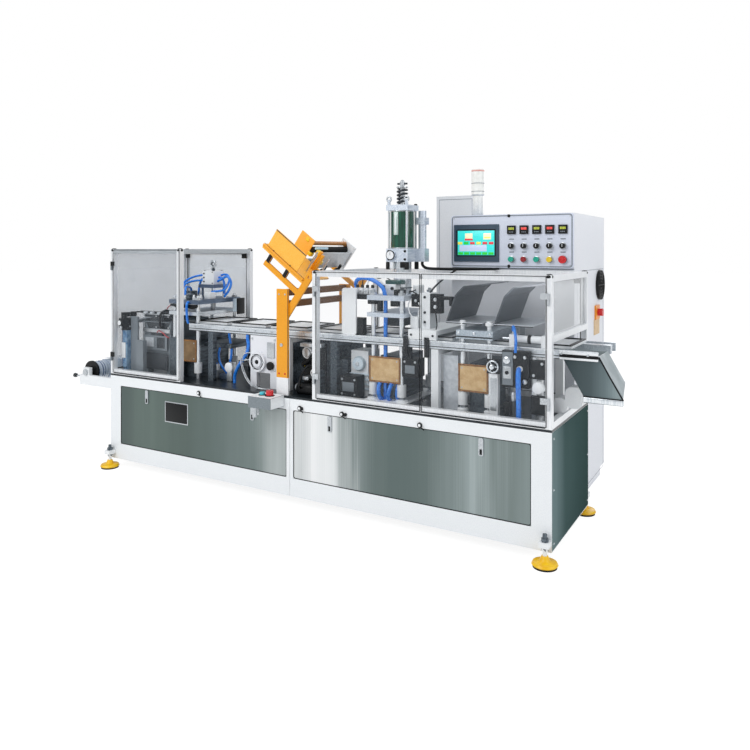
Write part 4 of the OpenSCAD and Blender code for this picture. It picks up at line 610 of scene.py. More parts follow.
unit = [
    turned([(12, -14), (20, -10), (20, 0)], (UNIT_X, 35, 932), 1),
    (*turned([(15, -15), (15, -14)], (UNIT_X, 35, 932), 1), white_coat),
    (*turned([(7, -9), (11, -6), (11, 0)], (UNIT_X, 35, 900), 1), zinc),
    (*turned([(18, 0), (20, 3), (20, 10), (17, 14)], (UNIT_X, 56, 940)), zinc),
    (*block((-1414, 57, 700), (-1380, 60, 800), 1), white_coat),
    *[turned([(17, 0), (19, 4), (19, 24), (15, 28)], (UNIT_X, y, 968)) for y in (90, 140)],
    block((-1418, 56, 880), (-1370, 168, 900), 3), (*block((-1420, 66, 640), (-1414, 156, 885), 2), navy),
    *[(*turned([(21, 0), (21, 8)], (UNIT_X, y, 900)), zinc) for y in (90, 140)]]
fit("service_unit_fittings", unit, black_plastic)
heat = [tube([(-1376, y, 996), (-1200, y, 996), (-1030, y, 996)], 5, (0, 0, 1)) for y in (150, 186)]
heat += [
    hose([(-1125, 138, 905), (-1125, 120, 915), (-1125, 116, 950), (-1122, 120, 990), (-1112, 150, 1014),
        (-1100, 190, 1002), (-1100, 200, 990)], 8, (1, 0, 0))]
heat += [
    (*hose(p, 3, (0, 0.2, 1)), red_wire)
    for p in (
        [(-1190, 240, 990), (-1190, 236, 1010), (-1160, 230, 1036), (-1110, 226, 1044), (-1070, 224, 1030),
            (-1051, 224, 1080)],
        [(-1150, 260, 990), (-1150, 256, 1006), (-1120, 250, 1020), (-1080, 246, 1024), (-1060, 246, 1050),
            (-1051, 246, 1084)],
        [(-1170, 136, 870), (-1150, 128, 884), (-1110, 126, 872), (-1080, 130, 850), (-1064, 138, 842)])]
heat += [
    (*block((-1302, 134, 870), (-1058, 139, 895), 1, 0), zinc),
    (*block((-1290, 133, 756), (-1080, 138, 850), 2), grey_plastic),
    (*block((-1276, 131, 776), (-1200, 134, 836), 2), pale_sheet),
    (*block((-1170, 131, 770), (-1100, 134, 840), 2), heater_coat),
    (*block((-1290, 134, 630), (-1080, 139, 738), 2), heater_coat)]
heat += [
    (*block((-1302, 134, 984), (-1058, 139, 991), 1, 0), zinc),
    (*block((-1302, 134, 936), (-1058, 139, 941), 1, 0), grey_plastic)]
heat += [(*block((x, 122, 990), (x + 26, 142, 1004), 3), pale_sheet) for x in (-1284, -1226, -1160)]
heat += [(*stud(x, 138, z, 5, 5), zinc) for x in (-1290, -1180, -1072) for z in (905, 975)]
fit("heater_fittings", heat, black_plastic)
knob = [turned([(1, -15), (9, -13), (14, -6), (15, 0), (14, 6), (9, 13), (1, 15)], (-1846, 32, 550), 0, 20)]
fit("lever_knob", knob, black_plastic)
bands = [hoop((-1720, y, 583), 61.2, 2.4, 1, 48) for y in (80, 110, 130, 190, 260, 350, 440, 520)]
fit("film_wraps", bands, navy, "roll")

# Forming press: nuts, ports, valves, hoses, harness, fittings on the table below it

form = [turned([(19, 0), (19, 13), (15, 15)], (x, y, FORMING_TOP), 2, 6) for x in FORMING_X for y in COLUMN_Y]
form += [
    (*turned([(10, 15), (10, 26), (7, 28)], (x, y, FORMING_TOP), 2, 14), chrome)
    for x in FORMING_X for y in COLUMN_Y]
form += [(*stud(-931, 312, z, 6, 3), black_plastic) for z in (1200, 1226, 1252)]
form += [(*stud(-859, 312, z, 4, 2), black_plastic) for z in (1190, 1262)]
form += [
    (*turned([(6, 0), (6, 3), (4, 4)], (FORMING_AXIS[0] + a, FORMING_AXIS[1] + b, 1270), 2, 12),
        black_plastic)
    for a in (-38, 38) for b in (-38, 38)]
form += [
    (*turned([(10, 0), (10, 16), (7, 18), (7, 30)], (x, y, FORMING_TOP), 2, 16), white_coat)
    for x, y in ((-985, 170), (-955, 170), (-880, 170), (-850, 200), (-1040, 220), (-1005, 340), (-809, 370))]
form += [
    (*block((-1035, 250, FORMING_TOP), (-985, 310, 1140), 4), tool_steel),
    (*block((-1000, 200, FORMING_TOP), (-960, 250, 1122), 4), white_coat),
    (*block((-930, 150, FORMING_TOP), (-900, 200, 1126), 4), tool_steel),
    (*block((-860, 240, FORMING_TOP), (-815, 300, 1136), 4), white_coat)]
form += [
    (*block((-757, 430, 985), (-747, 500, 1090), 2), black_plastic),
    (*block((-799, 440, 1000), (-757, 496, 1084), 4), pale_blue),
    (*block((-1040, 121, 1048), (-820, 135, 1064), 3, 0), black_plastic)]
form += [
    (*hose([(-1020, 128, 1058), (-960, 122, 1046), (-900, 124, 1052), (-850, 122, 1044), (-812, 128, 1056)],
        9, (0, 0, 1)), black_plastic)]
form += [
    hoop((*FORMING_AXIS, 1314), 20, 8, 1),
    (*turned([(9, 0), (12, 6), (12, 16)], (*FORMING_AXIS, 1270)), tool_steel)]
form += [
    (*turned([(8, 0), (8, 68)], (x, y, FORMING_TOP), 2, 16), chrome)
    for x in (-950, -840) for y in (306, 414)]
fit("forming_fittings", form, zinc)
loops = [
    (7, [(-1040, 220, 1110), (-1046, 226, 1150), (-1040, 252, 1200), (-1012, 296, 1228), (-975, 334, 1240),
        (-943, 345, 1242)]),
    (7, [(-985, 170, 1112), (-985, 172, 1150), (-982, 200, 1190), (-966, 270, 1206), (-943, 330, 1206)]),
    (7, [(-955, 170, 1112), (-957, 172, 1140), (-975, 200, 1168), (-1000, 260, 1160), (-1010, 280, 1140)]),
    (8, [(-847, 350, 1202), (-815, 352, 1216), (-776, 356, 1234), (-748, 360, 1212), (-746, 362, 1176),
        (-768, 362, 1136), (-796, 364, 1110), (-809, 370, 1100)]),
    (7, [(-847, 385, 1240), (-820, 384, 1246), (-786, 380, 1240), (-770, 372, 1206), (-782, 340, 1150),
        (-838, 280, 1136)]),
    (8, [(-880, 124, 1079), (-880, 112, 1074), (-880, 106, 1050), (-880, 108, 1000), (-880, 114, 962),
        (-880, 122, 948)])]
fit("forming_hoses", [hose(p, r, (0.3, 1, 0) if k < 5 else (1, 0, 0)) for k, (r, p) in enumerate(loops)],
    blue_hose)
# the first block is a dark sheet over the left end of the forming tool plate, standing in for the shade there
below = [
    block((-1046, 124, TABLE), (-944, 133, 850), 3), block((-825, 200, 798), (-600, 440, 826), 3),
    (*block((-800, 210, TABLE), (-722, 280, 654), 6), grey_plastic),
    *[(*turned([(14, 0), (16, 8), (16, 30), (8, 34)], (x, 235, 654)), white_coat) for x in (-780, -745)],
    (*block((-690, 190, TABLE), (-610, 250, 640), 6), blue_steel),
    (*turned([(24, -10), (30, -6), (30, 0)], (-580, 160, 690), 1), white_coat),
    (*block((-600, 160, TABLE), (-560, 200, 720), 4), zinc)]
below += [
    (*hose(p, 7, (1, 0, 0)), blue_hose)
    for p in (
        [(-690, 200, 798), (-690, 190, 760), (-676, 180, 720), (-660, 190, 680), (-650, 220, 640)],
        [(-740, 220, 798), (-742, 205, 770), (-746, 200, 730), (-745, 216, 700), (-745, 235, 688)])]
below += [
    (*hose([(-376, 122 - 6 * k, 800 - 20 * k), (-412, 105 - 6 * k, 792 - 18 * k), (-420, 92 - 6 * k, 750),
        (-392, 84 - 6 * k, 690), (-340, 74 - 6 * k, 634), (-262, 66 - 6 * k, 611), (-200, 80, 607)], 2.6,
        (0, 0.3, 1)), zinc)
    for k in (0, 2)]
fit("forming_table_fittings", below, tool_steel)

# Drive: bolts and hub on the round cover, transfer linkage beside it

hub = [
    stud(COVER_X + 46 * math.cos(t), 100, COVER_Z + 46 * math.sin(t), 6, 5)
    for t in np.arange(6) * math.pi / 3]
hub += [
    (*hoop((COVER_X, 101, COVER_Z), 43, 3, 1), black_plastic),
    (*turned([(10, -8), (26, -6), (30, 0)], (COVER_X, 108, COVER_Z), 1), machined),
    (*stud(COVER_X, 102, COVER_Z, 12, 8), black_plastic)]
hub += [stud(x, 118, z, 7, 5) for x in (-362, -196) for z in (710, 885)]
hub += [
    block((-250, 112, 780), (-196, 118, 870), 3),
    (*turned([(14, -14), (24, -10), (24, 0)], (-222, 112, 735), 1), black_plastic)]
fit("drive_cover_fittings", hub, zinc)
link = [
    (*block((-250, 330, TABLE), (268, 340, 900), 3), tool_steel),
    block((-14, 150, TABLE), (140, 160, 880), 3), (*block((150, 240, TABLE), (228, 330, 790), 6), tool_steel),
    (*turned([(12, -14), (33, -12), (36, -6), (36, 0)], (18, 150, 826), 1), white_coat),
    (*turned([(14, -22), (24, -20), (26, -14)], (18, 150, 826), 1), zinc),
    turned([(8, -18), (26, -15), (30, -8), (30, 0)], (70, 150, 716), 1),
    (*hoop((70, 134, 716), 21, 4, 1), white_coat), turned([(6, -16), (20, -14), (24, 0)], (0, 150, 758), 1),
    (*stud(0, 134, 758, 8, 6), yellow_cap),
    tube([(-2, 126, 758), (40, 126, 790), (78, 126, 836)], 9, (0, 1, 0)),
    tube([(70, 124, 716), (96, 122, 690), (128, 120, 640)], 9, (0, 1, 0)),
    block((-14, 62, TABLE), (104, 140, 664), 22, 0, 6),
    (*turned([(20, -12), (24, -8), (26, 0)], (-14, 101, 634), 0), zinc),
    (*block((100, 70, TABLE), (142, 140, 740), 5), tool_steel), (*stud(121, 70, 715, 11, 9), zinc),
    (*stud(121, 70, 660, 7, 6), yellow_cap), (*block((-10, 108, 862), (135, 150, 884), 4), zinc),
    (*block((20, 90, 680), (60, 150, 700), 4), zinc)]
link += [hose([(30, 62, 640), (34, 44, 660), (52, 40, 720), (86, 60, 770), (112, 96, 742)], 6, (1, 0, 0))]
fit("transfer_linkage", link, black_plastic)

# Card feeder: studs, stops, rods, rollers, screws


# the card tray slopes by 36 degrees about a line at this height
TRAY_COS, TRAY_SIN, TRAY_Z = 0.809, 0.588, 1300


def sloped(part):
    """A part drawn in the tray's own frame (along the slope, across, off the floor) turned into place."""
    u, across, off = part[0].T
    turned_in = [TRAY_COS * u + TRAY_SIN * off, across, TRAY_Z - TRAY_SIN * u + TRAY_COS * off]
    return np.stack(turned_in, -1), part[1]


feed = [sloped(block((u - 4, 20, -72), (u + 20, 40, -24), 4)) for u in (-173, -32)]
feed += [sloped(turned([(5, 0), (8, 4), (8, 20), (5, 24)], (u + 8, 30, -12))) for u in (-173, -32)]
feed += [
    (*sloped(tube([(22, 130, 0), (22, 130, 60), (22, 130, 132)], 5, (0, 1, 0))), zinc),
    (*sloped(block((40, 150, 0), (54, 172, 126), 2)), orange_coat),
    (*sloped(block((-6, 200, 0), (8, 222, 118), 2)), orange_coat),
    (*sloped(tube([(66, 210, 0), (66, 210, 60), (66, 210, 110)], 5, (0, 1, 0))), zinc)]
feed += [
    (*sloped(tube([(u, 272, w), (u, 330, w), (u, 392, w)], 7, (1, 0, 0))), clear_blue)
    for u, w in ((-150, 70), (-124, 46), (-80, 84), (-60, 30))]
feed += [
    (*sloped(block((u, 262, w), (u + 26, 296, w + 24), 3)), yellow_cap)
    for u, w in ((-168, 84), (-110, 22), (-64, 62), (-30, 20))]
feed += [
    (*turned([(19, 0), (21, 4), (21, 22), (14, 27)], (-47, 656, 1408), 1), brown_and_shaded_coat),
    (*turned([(8, 0), (13, 3), (13, 14), (9, 18)], (-50, 656, 1447), 1), brown_and_shaded_coat)]
feed += [(*tube([(-128, 640, 1312), (-100, 640, 1347), (-66, 640, 1388)], 11, (0, 1, 0)), teal_paint)]
feed += [
    sloped(turned([(22, -44), (16, -34), (9, -28), (9, 0)], (u, y, -6)))
    for u, y in ((-30, 310), (-30, 400), (-30, 560))]
feed += [
    (*stud(-67, 14, 879, 10, 6), zinc), *[(*stud(x, 14, 720, 5, 4), red_cap) for x in (-43, -84)],
    *[(*stud(x, 14, 1160, 5, 3), zinc) for x in (-43, -84)]]
feed += [
    (*sloped(block((-243, 13, -14), (95, 24.4, 5), 5, 0)), orange_coat),
    (*sloped(block((-243, 22.6, 5), (95, 24.4, 7), 0.6, 0)), brown_and_shaded_coat)]
feed += [
    (*sloped(block((-217, 22, 112), (31, 24.4, 118), 0.8, 0)), brown_and_shaded_coat),
    (*block((-26, 12.6, 700), (-22, 14, 1188), 0.5), brown_and_shaded_coat)]
fit("feeder_fittings", feed, black_plastic)

# Sealing press: nuts, valves, wires, manifold; foot plate, motor and hoses below it

seal = [turned([(20, 0), (20, 14), (16, 16)], (x, y, SEALING_TOP), 2, 6) for x in SEALING_X for y in COLUMN_Y]
seal += [
    turned([(10, 16), (10, 26), (7, 28)], (x, y, SEALING_TOP), 2, 14)
    for x in SEALING_X for y in COLUMN_Y]
for x in (320, 352, 384, 416):
    seal += [
        (*block((x - 13, 168, SEALING_TOP), (x + 13, 212, 1200), 3), white_coat),
        (*turned([(8, 0), (9, 3), (9, 14), (6, 17)], (x, 190, 1200)), black_plastic),
        stud(x, 168, 1184, 6, 7)]
seal += [
    (*block((466, 204, SEALING_TOP), (548, 262, 1222), 4), white_coat),
    (*block((482, 212, 1222), (578, 266, 1244), 4), teal_dark),
    (*stud(474, 204, 1206, 12, 12), black_plastic), (*stud(530, 204, 1200, 9, 10), black_plastic),
    (*block((556, 170, SEALING_TOP), (600, 230, 1196), 4), black_plastic),
    (*block((604, 300, SEALING_TOP), (640, 370, 1216), 4), white_coat)]
seal += [
    (*block((420, 128, 1118), (470, 160, 1140), 3), black_plastic),
    (*block((560, 126, 1110), (606, 150, 1140), 3), black_plastic),
    (*block((478, 134, 1080), (500, 160, 1140), 3), black_plastic)]
seal += [
    (*hose(p, 3.2, (0.3, 1, 0.2)), sleeve)
    for sleeve, p in (
        (white_coat, [(320, 190, 1214), (322, 196, 1240), (350, 220, 1256), (400, 250, 1250),
            (440, 262, 1220), (452, 270, SEALING_TOP)]),
        (black_plastic, [(352, 190, 1214), (354, 200, 1250), (390, 230, 1270), (440, 262, 1262),
            (480, 280, 1240)]),
        (white_coat, [(384, 190, 1214), (386, 200, 1236), (410, 220, 1246), (440, 236, 1226),
            (466, 240, 1206)]),
        (white_coat, [(648, 196, 1150), (640, 180, 1120), (650, 172, 1080), (672, 178, 1050),
            (690, 196, 1040)]),
        (white_coat, [(690, 198, 1130), (706, 182, 1110), (700, 176, 1070), (716, 184, 1030),
            (728, 200, 1010)]),
        (black_plastic, [(697, 210, 1160), (676, 190, 1180), (650, 190, 1190), (628, 210, 1180),
            (620, 300, 1190)]),
        (black_plastic, [(786, 198, 1090), (800, 180, 1060), (806, 176, 1020), (800, 180, 990),
            (812, 200, 946)]))]
seal += [
    (*hose([(737, 240, 1182), (745, 290, 1215), (770, 370, 1262), (803, 440, 1300)], 5, (0, 0, 1)),
        black_plastic)]
seal += [
    (*block((817, 192, 1150), (884, 214, 1168), 3), black_plastic),
    (*block((868, 186, 1120), (884, 222, 1168), 3), black_plastic),
    *[stud(786, 200, z, 10, 8) for z in (1150, 1112)], stud(672, 200, 1140, 8, 7),
    *[(*stud(725, 200, z, 7, 5), black_plastic) for z in (1160, 1080, 1030)]]
seal += [
    (*block((672, 112, 950), (830, 118, 994), 2, 0), white_coat),
    *[(*stud(x, 112, 972, 6, 5), black_plastic) for x in (690, 812)]]
fit("sealing_fittings", seal, zinc)
foot = [
    block((404, 96, TABLE), (656, 540, 613), 3),
    *[turned([(32, 0), (32, 5), (27, 9)], (x, COLUMN_Y[0], 613)) for x in SEALING_X]]
foot += [
    (*turned([(10, -26), (34, -22), (40, -12), (40, 0)], (325, 205, 782), 1), pale_blue),
    (*hoop((325, 196, 782), 36, 4, 1), machined), (*stud(325, 182, 782, 12, 8), machined)]
foot += [(*block((262, 198, 640 + 26 * k), (388, 205, 650 + 26 * k), 2, 0), pale_blue) for k in range(4)]
foot += [(*stud(x, 118, z, 6, 4), zinc) for x in (265, 345) for z in (625, 705)]
foot += [
    (*block((268, 115, 640), (342, 118, 690), 2), grey_plastic),
    *[(*stud(x, 118, 830, 6, 5), zinc) for x in (650, 710)]]
foot += [(*block((652, 115, 770), (708, 118, 812), 2), grey_plastic)]
foot += [
    (*hose(p, r, (1, 0, 0)), blue_hose)
    for r, p in (
        (11, [(560, 150, 705), (560, 128, 690), (556, 116, 660), (548, 124, 630), (545, 150, 613)]),
        (11, [(490, 150, 705), (490, 130, 688), (494, 118, 656), (498, 126, 628), (500, 150, 613)]),
        (8, [(585, 170, 705), (588, 150, 680), (590, 140, 650), (588, 152, 625), (585, 170, 613)]))]
fit("sealing_base_fittings", foot, white_coat)

# Bare plates on the tools: a darker border and four rivets

plates = []
for x0, x1 in ((-1043, -825), (427, 615), (942, 1100)):
    plates += edging(x0, x1, 705, 842, 132.4, 9, 2)
    plates += kind([stud(x, 133, z, 4, 2) for x in (x0 + 20, x1 - 20) for z in (725, 822)], zinc)
fit("tool_plate_borders", plates, tan_edge)

# Cutting press and outlet: caps, cylinder rings, valve fittings, wheel hub, hood folds, chute trim

cut = [
    turned([(20, 0), (20, 12), (14, 16), (14, 22)], (x, y, z), 2, 20)
    for x in CUTTING_X for y, z in zip(COLUMN_Y, (1035, 1011))]
cut += [
    (*turned([(19.5, 0), (22, 2), (22, 14), (19.5, 16)], (x, 148, 982), 0), black_plastic)
    for x in (1208, 1296, 1376)]
cut += [(*turned([(5, 0), (7, 2), (7, 14), (5, 16)], (x, 148, 1002)), zinc) for x in (1222, 1380)]
cut += [(*tube([(1170, 148, 982), (1190, 148, 982), (1212, 148, 982)], 6, (0, 0, 1)), chrome)]
cut += [
    (*turned([(8, -16), (17, -12), (19, 0)], (1216, 78, 888), 1), chrome),
    (*block((1196, 72, 800), (1236, 80, 858), 4), zinc), (*stud(1216, 72, 829, 9, 9), black_plastic),
    turned([(11, -18), (14, -10), (14, 0)], (1278, 78, 850), 1),
    *[(*stud(x, 78, 905, 8, 8), zinc) for x in (1302, 1254)], (*stud(1302, 78, 792, 12, 10), zinc),
    (*block((1326, 100, TABLE), (1352, 112, 905), 3), zinc),
    (*block((1198, 84, TABLE), (1228, 112, 690), 4), black_plastic),
    (*block((1318, 88, 806), (1404, 116, 896), 6), black_plastic),
    turned([(8, -20), (26, -14), (30, 0)], (1362, 92, 768), 1),
    (*block((1324, 90, 640), (1400, 116, 730), 6), black_plastic), (*stud(1380, 88, 880, 7, 6), zinc),
    (*stud(1340, 88, 824, 7, 6), zinc),
    (*turned([(10, 0), (13, 4), (13, 40), (8, 46)], (1240, 100, 690)), zinc)]
cut += [
    (*turned([(6, -10), (11, -8), (12, 0)], (1146, 62, 851), 1), chrome),
    (*block((1130, 80, 640), (1162, 82.4, 796), 1, 0), zinc),
    (*block((1113, 79, 816), (1179, 82.4, 886), 1, 0), black_plastic),
    (*block((1192, 74, 770), (1244, 78.4, 926), 2), grey_plastic)]
cut += [
    (*block((934, 121, 975), (1126, 124, 981), 0.6, 0), black_plastic),
    *[(*stud(x, 124, 996, 7, 5), chrome) for x in (948, 1112, 1030)]]
cut += [turned([(27, 0), (27, 14), (22, 18)], (x, COLUMN_Y[0], TABLE)) for x in CUTTING_X]
cut.append((*hose([(1222, 148, 1016), (1222, 140, 1040), (1240, 110, 1030), (1256, 84, 980), (1256, 76, 924)],
    7, (1, 0, 0.2)), blue_hose))
fit("cutting_fittings", cut, white_coat)
folds = [block((x, 130.5, 1040), (x + 194, 132, 1044), 0.4, 0) for x in (876, 1130)]
fit("hood_edges", folds, black_plastic)

mouth = [
    block((1556, 126, 716), (1733, 134, 740), 3, 0),
    (*block((1556, 127, 740), (1733, 132, 744), 0.6, 0), rubber),
    (*tube([(1626, 131, 924), (1676, 131, 834), (1731, 131, 740)], 3.5, (0, 1, 0)), rubber),
    (*block((1452, 116.6, 915), (1626, 118.4, 930), 0.5, 0), rubber),
    (*block((1452, 116.4, 905), (1626, 118.4, 915), 0.5, 0), white_coat),
    (*block((1452, 116.4, 930), (1626, 118.4, 946), 0.5, 0), white_coat)]
fit("chute_mouth_trim", mouth, chrome)

# Air hoses, fitting to fitting: radius, side, path; the last is the booster's black cable

ROUTES = [
    (11, (0, 1, 0), [(315, 195, SEALING_TOP), (315, 195, 1190), (309, 190, 1220), (325, 184, 1244),
        (361, 178, 1254), (409, 170, 1250), (459, 163, 1232), (497, 158, 1204), (511, 157, 1170),
        (515, 157, 1130), (515, 157, 1000), (515, 157, 800), (515, 157, TABLE)]),
    (7, (0, 1, 0), [(-943, 360, 1226), (-965, 360, 1226), (-990, 352, 1208), (-1002, 345, 1170),
        (-1005, 340, 1125), (-1005, 340, FORMING_TOP)]),
    (7, (0, 1, 0), [(-847, 360, 1226), (-827, 360, 1226), (-809, 364, 1208), (-806, 368, 1165),
        (-809, 370, 1120), (-809, 370, FORMING_TOP)]),
    (8, (0, 1, 0), [(-640, 230, 905), (-640, 230, 880), (-630, 227, 840), (-614, 222, 790), (-616, 216, 730),
        (-632, 211, 670), (-640, 210, 630), (-640, 210, TABLE)]),
    (10, (0, 1, 0), [(-404, 125, 905), (-404, 125, 880), (-396, 123, 845), (-404, 122, 805), (-430, 125, 765),
        (-470, 132, 725), (-506, 142, 680), (-526, 150, 640), (-526, 150, TABLE)]),
    (12, (1, 0, 0), [(1278, 78, 850), (1278, 64, 850), (1278, 55, 838), (1278, 52, 812), (1278, 54, 740),
        (1278, 58, 660), (1278, 58, TABLE)]),
    (8, (1, -1, 0), [(623, 380, 1342), (623, 380, 1326), (635, 382, 1312), (659, 388, 1305), (713, 402, 1303),
        (803, 440, 1302), (893, 505, 1302), (935, 580, 1301), (945, 640, 1300), (945, 696, 1300)])]
pipes = [(*hose(p, r, side), black_plastic if p is ROUTES[-1][2] else blue_hose) for r, side, p in ROUTES]
fit("air_hoses_smooth", pipes, blue_hose, stands_for=("air_hoses",))

# Booster: sight barrel, coil spring with rod and tip over the top plate, level strip, gauge, eyebolts

barrel = [turned([(60, 0), (64, 2), (64, 206), (60, 208)], (*BOOSTER, 1414), 2, 48)]
fit("booster_sight_barrel", barrel, green_barrel, stands_for=("booster_barrel",))
COIL_TURNS, COIL_R, COIL_Z, COIL_H = 4.5, 27, 1657, 88
wind = np.linspace(0, 2 * math.pi * COIL_TURNS, 4 * 28)
around = [BOOSTER[0] + COIL_R * np.cos(wind), BOOSTER[1] + COIL_R * np.sin(wind)]
coil = np.stack([*around, COIL_Z + wind / wind[-1] * COIL_H], -1)
spring = [
    tube(coil, 5.5, (0, 0, 1), 10),
    (*turned([(13, 0), (13, 110), (14, 112), (14, 130), (9, 132), (9, 138)], (*BOOSTER, BOOSTER_TOP)), zinc),
    (*turned([(33, 0), (33, 4), (20, 6)], (*BOOSTER, BOOSTER_TOP)), zinc),
    (*turned([(20, 94), (32, 96), (32, 102), (14, 104)], (*BOOSTER, BOOSTER_TOP)), zinc),
    block((500, 314, 1766), (560, 326, 1776), 2),
    turned([(8, 132), (8, 138), (4, 140)], (*BOOSTER, BOOSTER_TOP))]
fit("booster_spring", spring, spring_steel, stands_for=("booster_bellows",))
level = [
    (*block((512, 250, 1488), (538, 262, 1614), 3), sight_glass),
    (*block((522, 248.6, 1500), (528, 250.4, 1602), 0.6), white_coat),
    (*turned([(25, -4), (27, -2), (27, 0)], (497, 242, 1378), 1), black_plastic),
    (*turned([(22, -4.6), (22, -4)], (497, 242, 1378), 1), white_coat),
    (*block((496, 236.8, 1378), (498, 237.4, 1394), 0.2), black_plastic)]
level += [(*hoop((x, 266, 1684), 13, 4.5, 1), zinc) for x in (476, 584)]
level += [(*stud(x, 254, z, 7, 5), black_plastic) for x in (480, 580) for z in (1356, 1400)]
level += [
    (*turned([(11, 0), (11, 6), (7, 9)], (x, 374, BOOSTER_TOP), 2, 6), black_plastic)
    for x in (476, 584)]
level += [hoop((*BOOSTER, z), 64.5, 2.5, 2, 48) for z in (1417, 1619)]
level += [
    (*block((500, 268, 1342), (560, 300, 1352), 2), black_plastic),
    turned([(34, 0), (34, 16), (50.5, 18), (50.5, 22)], (*BOOSTER, 1300)),
    (*hoop((*BOOSTER, 1200), 50.5, 3, 2, 40), black_plastic)]
level += [
    (*turned([(9, 0), (12, 3), (12, 38), (9, 42)], (x, y, 1300)), black_plastic)
    for x in (472, 588) for y in (262, 378)]
level += [
    (*block((484, 256, 1304), (508, 276, 1342), 3), white_coat),
    (*block((548, 256, 1310), (580, 276, 1342), 3), black_plastic)]
fit("booster_fittings", level, chrome)

# Control panel: border, screen picture, displays, button rings


def rim(x0, x1, z0, z1, y, r, wide, deep, k=8):
    """Closed band: a flat strip carried round a rectangle with corners of radius r."""
    turn = np.concatenate([np.linspace(0, math.pi / 2, k + 1) + q * math.pi / 2 for q in range(4)])
    side = np.repeat(np.array([[1, 1], [-1, 1], [-1, -1], [1, -1]]), k + 1, axis=0)
    mid, half = np.array([(x0 + x1) / 2, (z0 + z1) / 2]), np.array([(x1 - x0) / 2 - r, (z1 - z0) / 2 - r])
    unit = np.stack([np.cos(turn), np.sin(turn)], -1)
    flat = [mid + side * half + unit * reach for reach in (r, r, r - wide, r - wide)]
    depth = (y + deep, y, y, y + deep)
    rings = np.stack([np.stack([f[:, 0], np.full(len(f), d), f[:, 1]], -1) for f, d in zip(flat, depth)], 1)
    n = len(turn)
    i, j = np.meshgrid(np.arange(n), np.arange(4), indexing="ij")
    after, beside = (i + 1) % n * 4, (j + 1) % 4
    faces = np.stack([i * 4 + j, i * 4 + beside, after + beside, after + j], -1).reshape(-1, 4).tolist()
    return rings.reshape(-1, 3), faces


edge = [
    rim(667, 1369, 1312, 1602, 680.6, 16, 6, 1.4),
    *[(*stud(1014, 681, z, 9, 2), black_plastic) for z in (1598, 1316)]]
edge += [(*stud(x, 682, z, 4, 2), zinc) for x in (680, 1356) for z in (1324, 1590)]
fit("panel_border", edge, border_paint)
picture = [
    block((708, 672, 1377), (932, 673, 1517), 0.4),
    (*block((720, 671.4, 1399), (886, 672, 1434), 0.2), screen_lavender)]
picture += [(*block((x, 671.4, 1466), (x + 46, 672, 1502), 0.2), screen_cream) for x in (754, 866)]
picture += [
    (*block((752, 671, 1461), (802, 671.4, 1472), 0.1), screen_red),
    (*block((872, 671, 1474), (906, 671.4, 1480), 0.1), screen_yellow)]
picture += [
    (*block((709 + 38 * k, 671.4, 1438), (737 + 38 * k, 672, 1453), 0.2), tone)
    for k, tone in enumerate((screen_yellow, screen_green, screen_red, screen_yellow, screen_red,
    screen_red))]
picture += [
    (*block((711 + 37 * k, 671.4, 1379), (742 + 37 * k, 672, 1394), 0.2), screen_green)
    for k in range(6)]
picture += [(*rim(700, 940, 1369, 1525, 672.2, 6, 8, 0.8), black_plastic)]
fit("screen_picture", picture, screen_cyan)
displays = []
for k, x in enumerate(CONTROL_X):
    displays += [
        block((x - 20, 671, 1499), (x + 20, 672, 1539), 0.4),
        rim(x - 22, x + 22, 1497, 1541, 670.6, 4, 3, 1.4)]
    digit = digit_red if k in (1, 3) else digit_green
    displays += [
        (*block((x - 14 + 8 * d, 670.4, 1519), (x - 8 + 8 * d, 671, 1532), 0.1), digit)
        for d in range(4)]
    displays += [
        (*block((x - 12 + 9 * d, 670.4, 1504), (x - 6 + 9 * d, 671, 1509), 0.1), border_paint)
        for d in range(3)]
    displays += kind([turned([(17, 0), (19, 1), (19, 3), (16, 4)], (x, 678, z), 1) for z in (1355, 1429)],
        zinc)
    displays += [
        (*block((x - 1.2, 655, 1424), (x + 1.2, 658, 1440), 0.5), white_coat),
        *[(*block((x - 14, 681.2, z), (x + 14, 682, z + 6), 0.3, 0), border_paint) for z in (1392, 1464)]]
fit("panel_faces", displays, black_plastic)

# Cabinet: fan guard, door lines, vents and handle at the back, lamp rings

guard = [hoop((1389, 1290, 1194), r, 2.2, 0) for r in (20, 38, 56, 74, 88)]
guard += [
    block((1387, 1288, 1106), (1391, 1292, 1282), 1), block((1387, 1202, 1192), (1391, 1378, 1196), 1, 1)]
fit("fan_guard", guard, black_plastic)
door_lines = edging(440, 668, 40, 1728, 995.2, 3.5, 0.8)
door_lines += [block((1374, 760 + 640 * k, 60), (1374.6, 763 + 640 * k, 1290), 0.2) for k in (0, 1)]
door_lines += [
    block((1374, 763, 1288), (1374.6, 1400, 1291), 0.2, 1),
    block((1374, 763, 60), (1374.6, 1400, 63), 0.2, 1), block((662, 690, 1300), (1374, 696, 1304), 1, 0)]
fit("cabinet_door_lines", door_lines, border_paint)
vents = edging(702, 1334, 60, 1560, 1430.8, 4, 0.8) + edging(440, 644, 40, 1728, 1115.8, 4, 0.8)
vents += [(*block((870, 1430, z), (1170, 1434, z + 12), 1.8, 0), rear_coat) for z in range(260, 520, 26)]
vents += [(*block((726, 1430.6, z), (738, 1438, z + 60), 3), grey_plastic) for z in (200, 1360)]
vents.append((*block((1290, 1430.6, 800), (1312, 1440, 900), 4), grey_plastic))
fit("cabinet_back_fittings", vents, border_paint)
lamp_bands = [hoop((*LAMP, z), 37.6, 1.6, 2, 40) for z in (1752, 1800)]
lamp_bands += [(*turned([(30.5, 0), (33, 3), (33, 14), (30.5, 16)], (*LAMP, 1607)), pale_sheet)]
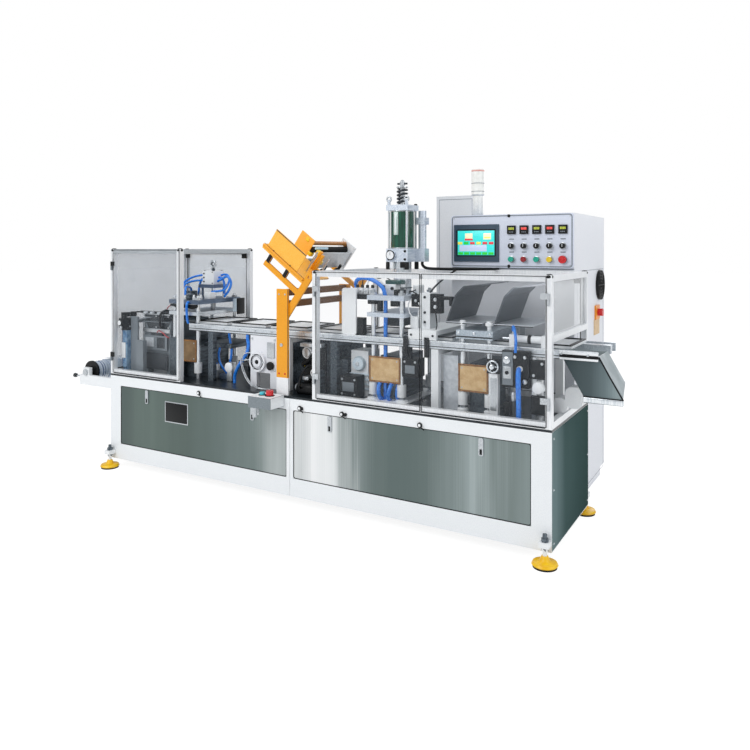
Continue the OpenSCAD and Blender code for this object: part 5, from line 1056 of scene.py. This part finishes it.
lamp_bands += [
    (*turned([(37, 0), (38.4, 2), (38.4, 9), (37, 11)], (*LAMP, 1868)), lamp_red),
    (*turned([(31, 0), (38.4, 4), (38.4, 8), (31, 10)], (*LAMP, 1726)), pale_sheet)]
fit("lamp_rings", lamp_bands, border_paint)

# Base: panel seams, end cover, latch inserts, bare nameplate, round catches, gland under the button box

seams = [rim(x0, x1, 156, 530, 1.2, 14, 4, 1.8) for x0, x1 in ((-1355, -23), (23, 1355))]
fit("panel_seams", seams, rubber)
# the end cover carries the end sheet's painted light and shade
cover = [block((1450, 3, 62), (1451.6, 677, 590), 0.5, 1)]
cover += [
    (*turned([(5, 0), (5, 1.4), (3, 2.4)], (1451.4, y, z), 0, 12), chrome)
    for y in (24, 656) for z in (90, 330, 560)]
fit("end_cover", cover, end_sheet)
inserts = [block((x - 6, -5, 446), (x + 6, -3.6, 472), 0.5) for x in (-1115, -263, 263, 1115)]
fit("latch_inserts", inserts, black_plastic)
plate = [
    (*block((-959, 1.6, 346), (-765, 3, 474), 1, 0), zinc), block((-953, 1.0, 352), (-771, 1.7, 468), 0.5, 0)]
fit("bare_nameplate", plate, black_plastic)
catches = []
for x, z in ((-673, 553), (69, 546), (341, 546), (796, 545)):
    catches += [
        turned([(9, -9), (13, -6), (13, 0)], (x, 0, z), 1),
        (*turned([(7, -10), (7.5, -8)], (x, 0, z), 1), white_coat),
        tube([(x + 6, -9, z - 6), (x + 16, -11, z - 12), (x + 27, -10, z - 20)], 3.2, (0, 1, 0))]
fit("round_catches", catches, black_plastic)
gland = [
    block((-38.8, -118, 547), (-37.8, -2, 605), 0.4),
    (*turned([(12, -40), (12, -14), (16, -12), (16, 0)], (-178, -60, 545)), zinc),
    turned([(9, -52), (9, -40)], (-178, -60, 545))]
gland += [
    (*hoop((-91, -60, 608), 24, 3, 2), black_plastic), (*hoop((-142, -60, 608), 19, 3, 2), black_plastic)]
fit("button_box_fittings", gland, white_coat)

# Stage

floor_mat = white_stage("pale_floor", "#f4f4f4")
mesh = bpy.data.meshes.new("floor")
mesh.from_pydata([(-40, -40, 0), (40, -40, 0), (40, 40, 0), (-40, 40, 0)], [], [(0, 1, 2, 3)])
mesh.materials.append(floor_mat)
floor = bpy.data.objects.new("floor", mesh)
scene.collection.objects.link(floor)
